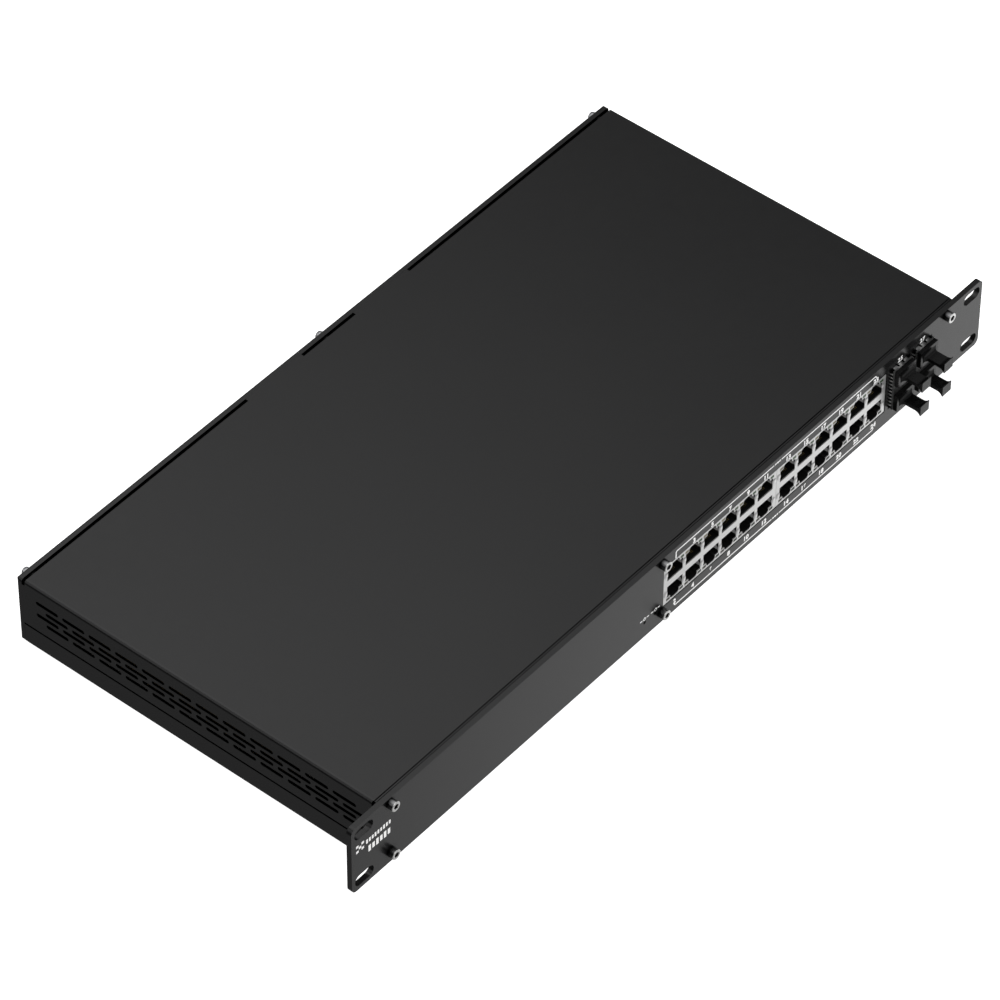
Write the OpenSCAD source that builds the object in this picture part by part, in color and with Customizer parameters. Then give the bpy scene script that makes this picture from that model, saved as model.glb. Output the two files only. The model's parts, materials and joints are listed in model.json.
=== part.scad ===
// Rack-mount network switch, one unit high, with its inner parts.
// x runs left to right seen from the front, y from front to back, z up.
// The back of the front plate lies on y = 0, and the plate is centred on x = 0 and z = 0.

/* [Front plate] */
// Overall width across the rack ears
plate_w = 482.6; // [482:0.1:483]
// Height of the front plate
plate_h = 43.65; // [43.4:0.05:43.8]
// Thickness of the front plate
plate_t = 3; // [2.5:0.1:3.5]
// Distance between the left and right rack slots
slot_span = 465.1; // [464.8:0.1:465.4]
// Distance between the upper and lower rack slots
slot_rise = 31.75; // [31.6:0.05:31.9]
// End to end length of a rack slot
slot_len = 13.2; // [10:0.1:14]
// Width of a rack slot
slot_wid = 6.8; // [6.4:0.1:7]

/* [Case] */
// Width of the case behind the plate
body_w = 442; // [440:0.5:443]
// Depth of the case behind the plate
depth = 225; // [224:0.5:232]
// Sheet metal thickness
sheet_t = 1.2; // [1:0.1:1.3]
// Bend radius on the outside of the cover
bend_r = 1.9; // [1.6:0.1:2.5]
// Length of a side vent slot
vent_len = 14.3; // [10:0.1:15]
// Width of a side vent slot
vent_wid = 2.3; // [1.4:0.1:2.4]
// Vent slots in each row
vent_n = 12; // [6:1:12]

/* [Ports] */
// Jacks in each row of one block
cols = 6; // [2:1:6]
// Spacing of the jacks
jack_pitch = 14; // [13.9:0.05:14.1]
// Width of a jack opening
jack_w = 11.8; // [11.6:0.1:12]
// Depth of a jack opening
jack_d = 13; // [12:0.5:14]
// Distance the dust plug grips stand out of their flanges
grip_len = 12; // [9:0.5:14]

/* [Cooling] */
// Side of a fan frame
fan_s = 40; // [39:0.5:40]
// Thickness of a fan frame
fan_t = 20; // [15:0.5:20]
// Blades on each fan rotor
blades = 7; // [5:1:9]

/* [Hidden] */
$fn = 48;
lap = 0.01; // overlap that joins touching shapes

// Case, in its own level below the plate's
lift = 0.55;
half_w = body_w / 2;
inner_half = half_w - sheet_t;
case_bot = -22;
case_top = 21.15;
floor_z = case_bot + sheet_t;
cover_bot = -8.2;
seam_gap = 1.2;
tray_top = cover_bot - seam_gap;
tray_r = 1.6;
rear_rim = 3.2;
rear_r = 1.1;
tab_y = depth - 6.35;
tab_spans = [[-half_w + 3, -61], [-19, 19], [61, half_w - 3]];
screw_hole_r = 1.6;
// Screw places, [x, z]
front_xz = [for (x = [-214, -14, 211.3], z = [18.1, -15.3]) [x, z]];
rear_upper = [[-213.3, 17.8], [-0.6, 17.8], [212.8, 17.8]];
rear_lower = [[-213.3, -14.6], [-0.6, -14.6], [212.8, -14.6]];
rear_xz = concat(rear_upper, rear_lower);

// Circuit boards
pcb_t = 1.6;
pcb_z = -14.2; // upper face
pad_h = 0.4;
// Standoff places, [x, y]
board_pts = [[-24, 20], [-24, 100], [-24, 182], [100, 60],
  [75, 182], [160, 110], [207, 60], [207, 182]];
supply_pts = [[-203, 66], [-203, 194], [-80, 66], [-80, 194], [-140, 130]];

// Jack blocks
block_x = -12.45;
block_w = cols * jack_pitch + 3.4;
block_gap = 0.2;
block_z = 0.27;
block_h = 25.65;
block_bot = block_z - block_h / 2;
block_top = block_z + block_h / 2;
block_y = -plate_t + 0.2;
block_back = 30;

// Module cages: an upper and a lower bay each
cage_x = [173.7, 191.9];
bay_z = 8.1;
cage_front = -5.3;
cage_back = 44;
cage_half_h = 12.85;

// Status light and reset pin
light_x = -26.8;
reset_x = -18.8;
pin_z = -12.4;

// Fans, mains inlet and ground screw
fan_x = [-40.2, 40.2];
fan_z = -0.4;
fan_y = depth - sheet_t - fan_t;
fan_holes = [for (x = [-16, 16], z = [-16, 16]) [x, z]];
inlet_x = -170;
inlet_z = 0;
inlet_screw_dx = 20;
ground_xz = [-122, -6];

// Extrudes an x-z outline from y0 to y1
module extrude_y(y0, y1) translate([0, y1, 0]) rotate([90, 0, 0])
  linear_extrude(y1 - y0) children();
// Cylinder along y, its axis at [x, z]
module rod(at, r, y0, y1) translate([at[0], y0, at[1]]) rotate([-90, 0, 0])
  cylinder(r = r, h = y1 - y0);
// Box from corner to corner
module box(from, to) translate(from) cube(to - from);
// Box standing on a circuit board, from corner to corner in x and y
module part(from, to, height)
  box([from[0], from[1], pcb_z], [to[0], to[1], pcb_z + height]);
// Rounded rectangle outline from corner to corner
module round_rect(x0, z0, x1, z1, r) {
  translate([x0 + r, z0]) square([x1 - x0 - 2 * r, z1 - z0]);
  translate([x0, z0 + r]) square([x1 - x0, z1 - z0 - 2 * r]);
  for (x = [x0 + r, x1 - r], z = [z0 + r, z1 - r]) translate([x, z]) circle(r);
}
// Slot outline with round ends, along x
module slot(length, width) {
  square([length - width, width], center = true);
  for (side = [-1, 1]) translate([side * (length - width) / 2, 0]) circle(width / 2);
}
// Screw at [x, z] with a hex socket; its head stands on seat_y, the shank runs forward
module rear_screw(at, seat_y, head_r, head_h, shank_r, length) difference() {
  union() {
    rod(at, head_r, seat_y, seat_y + head_h);
    rod(at, shank_r, seat_y - length, seat_y + lap);
  }
  translate([at[0], seat_y + head_h - 1.3, at[1]]) rotate([-90, 0, 0])
    cylinder(r = 1.3, h = 2, $fn = 6);
}
// Hex nut at [x, z] against the inside of the rear panel
module rear_nut(at, r, height, bore_r)
  translate([at[0], depth - sheet_t - height, at[1]]) rotate([-90, 0, 0]) difference() {
    cylinder(r = r, h = height, $fn = 6);
    translate([0, 0, -1]) cylinder(r = bore_r, h = 6);
  }
// Wire through a list of points
module wire(path, r) for (i = [0 : len(path) - 2]) hull()
  for (p = [path[i], path[i + 1]]) translate(p) sphere(r = r, $fn = 10);
// Raises a part from the case's own level to the plate's
module raised() translate([0, 0, lift]) children();

// Openings shared by the front plate and the tray's front wall
module front_cuts(pin_r) {
  margin = 0.5;
  for (p = front_xz) translate(p) circle(screw_hole_r);
  translate([block_x - margin, block_bot - margin])
    square([2 * block_w + block_gap + 2 * margin, block_h + 2 * margin]);
  for (x = cage_x) translate([x - 8.1, -13.5]) square([16.2, 27]);
  for (x = [light_x, reset_x]) translate([x, pin_z]) circle(pin_r);
}
module front_plate() color([0.13, 0.13, 0.135]) extrude_y(-plate_t, 0) difference() {
  round_rect(-plate_w / 2, -plate_h / 2, plate_w / 2, plate_h / 2, 3.2);
  for (side = [-1, 1], level = [-1, 1])
    translate([side * slot_span / 2, level * slot_rise / 2]) slot(slot_len, slot_wid);
  translate([0, lift]) front_cuts(0.95);
}

// Tabs inside the rear panel that take the rear screws
module rear_tabs(z0, z1) for (span = tab_spans)
  box([span[0], tab_y, z0], [span[1], tab_y + sheet_t, z1]);
module tab_holes(places) for (p = places) rod(p, screw_hole_r, depth - 8, depth - 3);

module tray_outline() difference() {
  union() {
    translate([-half_w + tray_r, case_bot]) square([body_w - 2 * tray_r, 12]);
    translate([-half_w, case_bot + tray_r]) square([body_w, tray_top - case_bot - tray_r]);
    for (side = [-1, 1])
      translate([side * (half_w - tray_r), case_bot + tray_r]) circle(tray_r);
  }
  translate([-inner_half, floor_z]) square([2 * inner_half, 40]);
  translate([-half_w - 1, tray_top]) square([body_w + 2, 40]);
}
module tray_front_wall() extrude_y(0, sheet_t) difference() {
  translate([-inner_half + 0.1, case_bot + 0.5])
    square([2 * inner_half - 0.2, case_top - 0.1 - case_bot - 0.5]);
  front_cuts(1.3);
}
// Strips along the inside of the side walls, reaching up behind the cover
module tray_side_strips() for (flip = [0, 1]) mirror([flip, 0, 0]) {
  x0 = inner_half - sheet_t;
  box([x0, 6.5, -13.5], [inner_half + lap, depth - 8, tray_top - 0.1]);
  box([x0, 6.5, -13.5], [inner_half - 0.12, depth - 8, cover_bot + 1.8]);
}
module base_tray() raised() color([0.12, 0.12, 0.125]) difference() {
  union() {
    extrude_y(0, depth - rear_rim - 0.1) tray_outline();
    tray_front_wall();
    rear_tabs(case_bot + 0.6, -11);
    tray_side_strips();
    for (p = concat(board_pts, supply_pts))
      translate([p[0], p[1], floor_z - lap]) cylinder(r = 3.4, h = pad_h + lap);
  }
  tab_holes(rear_lower);
  for (side = [-1, 1])
    box([side * half_w - 2.6, depth - 4.6, case_bot - 1],
      [side * half_w + 2.6, depth, case_bot + 1.1]);
  box([-half_w, -1, 19.7], [half_w, 0.52, 30]);
}

vent_pitch = 17;
// First slot of each vent row, [y, z]
vent_starts = [[18.85, 11.17], [18.85, 3.1], [12.75, 6.95], [12.75, -1.12]];
module vent_rows() for (k = [0 : vent_n - 1], start = vent_starts)
  translate([start[0] + vent_pitch * k, start[1]]) slot(vent_len, vent_wid);
module cover_outline() {
  bend_x = half_w - bend_r;
  bend_z = case_top - bend_r;
  difference() {
    union() {
      translate([-half_w, cover_bot]) square([body_w, bend_z - cover_bot]);
      translate([-bend_x, cover_bot]) square([2 * bend_x, case_top - cover_bot]);
      for (side = [-1, 1]) translate([side * bend_x, bend_z]) circle(bend_r);
    }
    translate([-inner_half, cover_bot - 1]) square([2 * inner_half, bend_z - cover_bot + 1]);
    translate([-bend_x, cover_bot - 1])
      square([2 * bend_x, case_top - sheet_t - cover_bot + 1]);
    for (side = [-1, 1]) translate([side * bend_x, bend_z]) circle(bend_r - sheet_t);
  }
}
module top_cover() raised() color([0.11, 0.11, 0.115]) difference() {
  corner_x = half_w + 0.4;
  notch_spans = [[-half_w - 1, -60.6], [-19.3, 19.8], [60.9, half_w + 1]];
  union() {
    extrude_y(0.15, depth - rear_rim - 0.05) cover_outline();
    rear_tabs(11, case_top - sheet_t + lap);
  }
  box([-inner_half + 0.05, -1, 17], [inner_half - 0.05, 1.8, 30]);
  for (side = [-1, 1])
    box([side * corner_x - 1.6, -1, 18.3], [side * corner_x + 1.6, 2.2, 30]);
  for (span = notch_spans) box([span[0], depth - 5.15, 18], [span[1], depth, 30]);
  tab_holes(rear_upper);
  for (side = [-1, 1]) translate([side * (half_w - sheet_t / 2), 0, 0])
    rotate([90, 0, 90]) linear_extrude(4, center = true) vent_rows();
}

// Ring-shaped openings over a fan, crossed by two diagonal bars
module guard_rings() difference() {
  bar = 2.2;
  union() for (r = [17.8, 14.3, 10.8, 7.3]) difference() {
    circle(r);
    circle(r - 2.2);
  }
  for (angle = [45, 135]) rotate(angle) square([60, bar], center = true);
}
// Outline with its two rear corners rounded, depth along x
module rear_edge(low, high) {
  translate([depth - 8, low]) square([8 - rear_r, high - low]);
  translate([depth - 8, low + rear_r]) square([8, high - low - 2 * rear_r]);
  for (corner = [low + rear_r, high - rear_r])
    translate([depth - rear_r, corner]) circle(rear_r);
}
// The panel's outside: rounded seen from behind, from the side and from above
module rear_block() intersection() {
  extrude_y(depth - rear_rim, depth)
    round_rect(-half_w, case_bot, half_w, case_top, bend_r);
  rotate([90, 0, 90]) translate([0, 0, -half_w - 1]) linear_extrude(body_w + 2)
    rear_edge(case_bot, case_top);
  translate([0, 0, case_bot - 1]) linear_extrude(case_top - case_bot + 2)
    rotate(90) mirror([0, 1]) rear_edge(-half_w, half_w);
}
module rear_cuts() {
  for (p = rear_xz) translate(p) circle(1.65);
  for (x = fan_x) translate([x, fan_z]) {
    guard_rings();
    for (p = fan_holes) translate(p) circle(1.75);
  }
  translate([inlet_x - 13.9, inlet_z - 10.2]) square([27.8, 20.4]);
  for (side = [-1, 1]) translate([inlet_x + side * inlet_screw_dx, inlet_z]) circle(1.7);
  translate(ground_xz) circle(2.1);
  // Four staggered rows of vent slots
  for (i = [0 : 9], j = [0 : 3])
    translate([95 + i * 11 + (j % 2) * 5.5, -9 + j * 5]) slot(8.5, 2);
}
module rear_panel() raised() color([0.12, 0.12, 0.125]) difference() {
  rear_block();
  box([-inner_half, depth - rear_rim - 1, floor_z],
    [inner_half, depth - sheet_t, case_top - sheet_t]);
  extrude_y(depth - 2 * sheet_t, depth + 1) rear_cuts();
}

module front_screws() raised() color([0.2, 0.2, 0.21]) for (p = front_xz) difference() {
  head_y = -plate_t - 3.8;
  union() {
    rod(p, 2.8, head_y, -plate_t);
    rod(p, 1.45, -plate_t - lap, 5);
  }
  translate([p[0], head_y - 1, p[1]]) rotate([-90, 0, 0]) cylinder(r = 1.5, h = 3.4, $fn = 6);
}
module front_nut_blocks() raised() color("silver") for (p = front_xz) difference() {
  z_span = p[1] > 0 ? [13.4, 19.8] : [-19, -12.85];
  box([p[0] - 3.6, sheet_t, z_span[0]], [p[0] + 3.6, 5.2, z_span[1]]);
  rod(p, 1.5, 0, 9);
}
module rear_screws() raised() color("silver")
  for (p = rear_xz) rear_screw(p, depth, 2.7, 2.4, 1.45, 7.4);
module rear_standoffs() raised() color("gainsboro") for (p = rear_xz) difference() {
  rod(p, 2, tab_y + sheet_t, depth - sheet_t);
  rod(p, 1.5, depth - 9, depth);
}

// Circuit board with screw holes, from corner to corner in x and y
module board(from, to, places) difference() {
  box([from[0], from[1], pcb_z - pcb_t], [to[0], to[1], pcb_z]);
  for (p = places) translate([p[0], p[1], -30]) cylinder(r = 1.7, h = 30);
}
module standoffs(places) for (p = places)
  translate([p[0], p[1], floor_z + pad_h]) difference() {
    cylinder(r = 2.9, h = pcb_z - pcb_t - floor_z - pad_h, $fn = 6);
    translate([0, 0, -1]) cylinder(r = 1.5, h = 20);
  }
// Screws down through a board, with a cross in the head
module down_screws(places) for (p = places) translate([p[0], p[1], pcb_z]) difference() {
  shank = 5.6;
  union() {
    cylinder(r = 2.8, h = 1.9);
    translate([0, 0, -shank]) cylinder(r = 1.4, h = shank + lap);
  }
  for (angle = [0, 90]) rotate(angle) translate([-1.6, -0.35, 0.9]) cube([3.2, 0.7, 2]);
}
module main_board() raised() color([0.02, 0.22, 0.12])
  board([-30, 5.6], [214, 190], board_pts);
module board_standoffs() raised() color("gold") standoffs(board_pts);
module board_screws() raised() color("silver") down_screws(board_pts);

// Jacks. Block 0 is the left one. row = 1 is the upper row, latch side up; row = -1 the lower.
skin = 0.3; // shield thickness
housing_inset = 0.35;
function block_left(block) = block_x + block * (block_w + block_gap);
// Repeats an x-z outline at each jack column of a block
module at_columns(block) translate([0, block_z]) for (i = [0 : cols - 1])
  translate([block_left(block) + 1.7 + jack_pitch * (i + 0.5), 0]) children();
module jack_hole(row) {
  // Right half-outline of the latch notch goes up, the left comes down: [x, z]
  notch = [[-3.35, 9], [3.35, 9], [3.35, 11], [2.3, 11.9], [-2.3, 11.9], [-3.35, 11]];
  translate([-jack_w / 2, row > 0 ? 2.05 : -9.5]) square([jack_w, 7.45]);
  polygon([for (p = notch) [p[0], row * p[1]]]);
}
// Shield folded in at the lower edge of a jack; in the lower row the notch splits it
module jack_floor(row) {
  x0 = -jack_w / 2 + 0.1;
  if (row > 0) translate([x0, 1.76]) square([jack_w - 0.2, skin]);
  else for (x = [x0, 3.4]) translate([x, -9.79]) square([jack_w / 2 - 3.5, skin]);
}
// Window of the light on one side of a jack
module light_window(row, side, inset = 0)
  translate([side * 5.1 - 1.3 + inset, (row > 0 ? 9.88 : -11.7) + inset])
    square([2.84 - 2 * inset, 1.7 - 2 * inset]);

module jack_housing(block) {
  x0 = block_left(block) + housing_inset;
  x1 = block_left(block) + block_w - housing_inset;
  difference() {
    union() {
      box([x0, block_y + housing_inset, block_bot + housing_inset],
        [x1, block_back, block_top - housing_inset]);
      box([x0, 5.7, pcb_z], [x1, block_back, block_bot + housing_inset + lap]);
    }
    extrude_y(block_y, block_y + jack_d) at_columns(block)
      for (row = [-1, 1]) jack_hole(row);
    // Room for the shield's folded strips
    extrude_y(block_y, block_y + 1.05) at_columns(block)
      for (z = [1.72, -9.83]) translate([-jack_w / 2, z]) square([jack_w, 0.4]);
    extrude_y(block_y, 4) at_columns(block)
      for (row = [-1, 1], side = [-1, 1]) light_window(row, side);
  }
}
module jack_housing_left() raised() color([0.03, 0.03, 0.03]) jack_housing(0);
module jack_housing_right() raised() color([0.03, 0.03, 0.03]) jack_housing(1);
module jack_shield(block) {
  x0 = block_left(block);
  x1 = x0 + block_w;
  inner_back = block_back + 0.05;
  difference() {
    box([x0, block_y, block_bot], [x1, inner_back + skin, block_top]);
    box([x0 + skin, block_y + skin, block_bot + skin],
      [x1 - skin, inner_back, block_top - skin]);
    // Open underside
    box([x0 + skin, 5, block_bot - 1], [x1 - skin, inner_back, block_z]);
    extrude_y(block_y - 1, block_y + 2) at_columns(block) for (row = [-1, 1]) {
      jack_hole(row);
      for (side = [-1, 1]) light_window(row, side);
    }
  }
  extrude_y(block_y + 0.1, block_y + 0.55) at_columns(block)
    for (row = [-1, 1]) jack_floor(row);
}
module jack_shield_left() raised() color([0.78, 0.78, 0.78]) jack_shield(0);
module jack_shield_right() raised() color([0.78, 0.78, 0.78]) jack_shield(1);
module jack_contacts() raised() color("gold") {
  contact_end = block_y + jack_d - 0.02;
  // Side outline of one contact, [y, z]
  outline = [[0.3, 2.07], [1, 2.07], [7.4, 3.4], [contact_end, 3.7], [contact_end, 4.05],
    [7.2, 3.75]];
  for (block = [0, 1], i = [0 : cols - 1], row = [-1, 1], k = [0 : 7])
    translate([block_left(block) + 1.7 + jack_pitch * (i + 0.5) + (k - 3.5) * 1.02 + 0.2,
      0, block_z]) rotate([90, 0, -90]) linear_extrude(0.4)
        scale([-1, 1]) mirror([0, row > 0 ? 0 : 1]) polygon(outline);
}
module lights(side) for (block = [0, 1]) extrude_y(block_y + 0.05, 3.9)
  at_columns(block) for (row = [-1, 1]) light_window(row, side, 0.05);
module amber_lights() raised() color([0.45, 0.38, 0.2]) lights(-1);
module green_lights() raised() color([0.12, 0.28, 0.14]) lights(1);

module module_cage(x) difference() {
  union() {
    box([x - 7.2, cage_front, -cage_half_h], [x + 7.2, cage_back, cage_half_h]);
    // Legs down to the board
    for (side = [-1, 1], y = [12, 24, 36])
      box([x + side * 6.98 - 0.21, y - 0.6, pcb_z], [x + side * 6.98 + 0.21, y + 0.6, -12.8]);
  }
  for (level = [-1, 1]) box([x - 6.75, cage_front - 1, level * bay_z - 4.4],
    [x + 6.75, cage_back - 0.4, level * bay_z + 4.4]);
  box([x - 6.8, cage_front + 0.4, -3.3], [x + 6.8, cage_back + 1, 3.3]);
  for (k = [0 : 3]) translate([x - 5 + k * 3.3, 16, 11]) cylinder(r = 1.1, h = 4);
  for (k = [0 : 4], level = [-1, 1]) translate([x - 10, 12 + k * 6.5, level * bay_z])
    rotate([0, 90, 0]) cylinder(r = 1.1, h = 20);
}
module module_cage_left() raised() color("silver") module_cage(cage_x[0]);
module module_cage_right() raised() color("silver") module_cage(cage_x[1]);
// Side outline of a bowed spring finger, [y, height above its feet]
finger_outline = [[cage_front + 0.3, 0.02], [cage_front + 0.5, 0.22], [-3.6, 0.24],
  [-1.6, 0.6], [-0.4, 0.22], [0.4, 0.18], [0.4, 0.02], [-0.5, 0.02], [-1.6, 0.4],
  [-3.5, 0.02]];
module finger(width) rotate([90, 0, 90])
  linear_extrude(width, center = true) polygon(finger_outline);
// A collar round the cage with fingers on all four sides
module spring_fingers(x) {
  difference() {
    box([x - 7.36, -0.1, -13.01], [x + 7.36, 0.5, 13.01]);
    box([x - 7.21, -1, -12.86], [x + 7.21, 1, 12.86]);
  }
  for (flip = [0, 1]) mirror([0, 0, flip]) for (k = [-1, 0, 1])
    translate([x + k * 4.05, 0, cage_half_h]) finger(3.1);
  for (side = [-1, 1], k = [-4.5 : 4.5])
    translate([x + side * 7.2, 0, k * 2.35]) rotate([0, side * 90, 0]) finger(1.75);
}
module spring_fingers_left() raised() color([0.5, 0.5, 0.5]) spring_fingers(cage_x[0]);
module spring_fingers_right() raised() color([0.5, 0.5, 0.5]) spring_fingers(cage_x[1]);
module module_connectors() raised() color([0.05, 0.05, 0.05])
  for (x = cage_x, z = [-bay_z, bay_z]) difference() {
    box([x - 5.6, cage_back - 10, z - 3], [x + 5.6, cage_back - 0.45, z + 3]);
    box([x - 4.6, cage_back - 11, z - 0.7], [x + 4.6, cage_back - 4, z + 0.7]);
  }

flange_y = cage_front - 2.4;
grip_y = flange_y - grip_len;
// Side outline of a plug's grip, [y, z]: a thin web with a thicker front end
module grip_side() difference() {
  web = 1.05; // half thickness
  root_r = 2.2;
  end_r = 3.6;
  translate([grip_y, -3.1]) square([grip_len + lap, 6.2]);
  for (side = [-1, 1]) {
    translate([flange_y - root_r, side * (web + root_r)]) circle(root_r);
    translate([grip_y + end_r, side * (web + end_r)]) circle(end_r);
    translate([grip_y + end_r, side > 0 ? web : -web - 2.2])
      square([grip_len - end_r - root_r, 2.2]);
    translate([grip_y + end_r, side > 0 ? 3.1 : -5]) square([grip_len - end_r, 1.9]);
  }
}
// Outline of the grip from above, with a narrow waist
module grip_top() difference() {
  translate([-5, grip_y]) square([10, grip_len + lap]);
  for (side = [-1, 1]) {
    translate([side * 6, flange_y - 2.5]) circle(2.5);
    translate([side > 0 ? 3.5 : -5.5, grip_y - 1]) square([2, grip_len - 1.5]);
  }
}
module dust_plug(x, z) translate([x, 0, z]) {
  difference() {
    union() {
      box([-6.95, flange_y, -4.9], [6.95, cage_front, 4.9]);
      box([-6.65, cage_front - lap, -4.3], [6.65, cage_front + 12, 4.3]);
    }
    box([-5.65, cage_front + 0.6, -3.3], [5.65, cage_front + 13, 3.3]);
  }
  intersection() {
    rotate([90, 0, 90]) linear_extrude(14, center = true) grip_side();
    linear_extrude(12, center = true) grip_top();
  }
}
plug_color = [0.06, 0.06, 0.06];
module dust_plug_upper_left() raised() color(plug_color) dust_plug(cage_x[0], bay_z);
module dust_plug_lower_left() raised() color(plug_color) dust_plug(cage_x[0], -bay_z);
module dust_plug_upper_right() raised() color(plug_color) dust_plug(cage_x[1], bay_z);
module dust_plug_lower_right() raised() color(plug_color) dust_plug(cage_x[1], -bay_z);

module status_light_pipe() raised() color([0.7, 0.75, 0.7]) {
  rod([light_x, pin_z], 0.85, -plate_t + 0.8, 7.6);
  box([light_x - 1.5, 5.8, pin_z - 1.7], [light_x + 1.5, 7.5, pin_z + 1.2]);
}
module status_light() raised() color("white")
  part([light_x - 1.5, 7.7], [light_x + 1.5, 9.6], 2.6);
module reset_switch() raised() color([0.15, 0.15, 0.15]) difference() {
  part([reset_x - 3, 5.8], [reset_x + 3, 9.4], 3.6);
  rod([reset_x, pin_z], 0.8, 5, 7.8);
}
module reset_plunger() raised() color([0.85, 0.85, 0.8])
  rod([reset_x, pin_z], 0.75, 1.5, 7.4);

// Parts on the main board
chip_color = [0.08, 0.08, 0.08];
sink_color = [0.25, 0.25, 0.27];
// Heatsink block with grooves along y, cut down to groove_z
module finned_sink(from, to, first, pitch, count, groove_z) difference() {
  box(from, to);
  for (k = [0 : count - 1]) {
    x = from[0] + first + k * pitch;
    box([x, from[1] - 1, groove_z], [x + 2.4, to[1] + 1, to[2] + 1]);
  }
}
// Upright capacitor with a groove round its foot
module can(x, y, r, height) translate([x, y, pcb_z]) difference() {
  cylinder(r = r, h = height);
  translate([0, 0, 1.6]) difference() {
    cylinder(r = r + 1, h = 0.7);
    translate([0, 0, -1]) cylinder(r = r - 0.35, h = 3);
  }
}
module switch_chip() raised() color(chip_color) {
  part([79.5, 89.5], [110.5, 120.5], 1.2);
  box([84, 94, pcb_z + 1.2 - lap], [106, 116, pcb_z + 2.2]);
}
module switch_heatsink() raised() color(sink_color)
  finned_sink([70, 80, pcb_z + 2.25], [120, 130, pcb_z + 22],
    first = 2.2, pitch = 4.8, count = 10, groove_z = pcb_z + 6);
module line_chips() raised() color(chip_color)
  for (x = [20, 75, 130]) part([x - 8, 52], [x + 8, 68], 1.4);
module line_heatsinks() raised() color(sink_color) for (x = [20, 130])
  finned_sink([x - 12, 48, pcb_z + 1.45], [x + 12, 72, pcb_z + 12],
    first = 1.6, pitch = 4.6, count = 5, groove_z = pcb_z + 4);
module small_chips() raised() color(chip_color) {
  for (k = [0 : 4]) part([-4 + k * 34, 36], [3 + k * 34, 43], 1);
  part([130, 95], [142, 104], 1.1);
  part([40, 95], [54, 103], 1.1);
  part([180, 90], [190, 100], 1.1);
  part([5, 150], [16, 161], 1.1);
}
module board_coils() raised() color([0.3, 0.3, 0.3]) {
  for (k = [0 : 5]) part([8 + k * 9, 132], [14.5 + k * 9, 138.5], 4);
  for (k = [0 : 3]) part([150 + k * 11, 140], [158 + k * 11, 148], 5);
}
module board_capacitors() raised() color([0.15, 0.16, 0.2]) {
  for (k = [0 : 3]) can(-12 + k * 14, 118, 5, 20);
  for (k = [0 : 5]) can(70 + k * 10, 160, 4, 11);
}

// Power supply
module supply_board() raised() color([0.45, 0.33, 0.12])
  board([-208, 60], [-75, 200], supply_pts);
module supply_standoffs() raised() color("gold") standoffs(supply_pts);
module supply_screws() raised() color("silver") down_screws(supply_pts);
module supply_insulator() raised() color([0.85, 0.85, 0.8]) difference() {
  box([-211, 57, floor_z + 0.02], [-72, 203, floor_z + 0.3]);
  for (p = supply_pts) translate([p[0], p[1], -30]) cylinder(r = 3.8, h = 30);
}
// Base, core frame and winding
module transformer() raised() color([0.25, 0.22, 0.2]) {
  part([-150, 90], [-112, 122], 4);
  difference() {
    box([-151, 96, pcb_z + 4.01], [-111, 116, pcb_z + 30]);
    box([-144, 95, pcb_z + 9], [-118, 117, pcb_z + 25]);
  }
  box([-143.9, 91, pcb_z + 9.1], [-118.1, 121, pcb_z + 24.9]);
}
module supply_capacitors() raised() color([0.1, 0.1, 0.12]) {
  for (y = [100, 128]) can(-178, y, 12.5, 30);
  for (k = [0 : 3]) can(-88, 84 + k * 13, 5, 25);
}
module supply_heatsinks() raised() color([0.6, 0.6, 0.62])
  for (p = [[-160, 82], [-104, 88]]) difference() {
    part([p[0] - 2, p[1]], [p[0] + 5, p[1] + 62], 28);
    for (k = [0 : 5]) {
      z = pcb_z + 3 + k * 4.2;
      box([p[0] + 1.6, p[1] - 1, z], [p[0] + 6, p[1] + 63, z + 2.6]);
    }
  }
module filter_choke() raised() color([0.7, 0.35, 0.12]) {
  translate([-130, 160, pcb_z + 3]) rotate_extrude()
    translate([9, 5]) square([7, 12], center = true);
  part([-143, 147], [-117, 173], 1.6);
  translate([-130, 160, pcb_z + 1.6 - lap]) cylinder(r = 5.2, h = 12);
}
module filter_parts() raised() color([0.8, 0.65, 0.15]) {
  part([-190, 150], [-164, 162], 20);
  part([-190, 168], [-164, 180], 16);
  part([-112, 168], [-104, 190], 9);
  translate([-150, 186, pcb_z]) cylinder(r = 4.5, h = 7);
}

// Mains inlet
blade_xz = [for (p = [[-7, -2], [7, -2], [0, 2]]) [inlet_x + p[0], inlet_z + p[1]]];
// Rectangle with its upper corners cut off
module inlet_outline(width, height, cut) {
  x = width / 2;
  z = height / 2;
  translate([inlet_x, inlet_z])
    polygon([[-x, -z], [x, -z], [x, z - cut], [x - cut, z], [-x + cut, z], [-x, z - cut]]);
}
// Box round one blade, clear of it by gap on its four long sides
module blade(p, y0, y1, gap = 0)
  box([p[0] - 1 - gap, y0, p[1] - 2 - gap], [p[0] + 1 + gap, y1, p[1] + 2 + gap]);
module mains_inlet() raised() color([0.05, 0.05, 0.05]) difference() {
  union() {
    extrude_y(depth, depth + 2.6) difference() {
      round_rect(inlet_x - 25, inlet_z - 11.4, inlet_x + 25, inlet_z + 11.4, 5);
      for (side = [-1, 1])
        translate([inlet_x + side * inlet_screw_dx, inlet_z]) circle(screw_hole_r);
    }
    extrude_y(depth - 19, depth + lap) inlet_outline(27.4, 20, 4);
  }
  extrude_y(depth - 14, depth + 4) inlet_outline(24.2, 16.6, 4.4);
  for (p = blade_xz) blade(p, depth - 25, depth - 10, 0.02);
}
module inlet_blades() raised() color("silver")
  for (p = blade_xz) blade(p, depth - 24, depth - 0.6);
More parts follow.
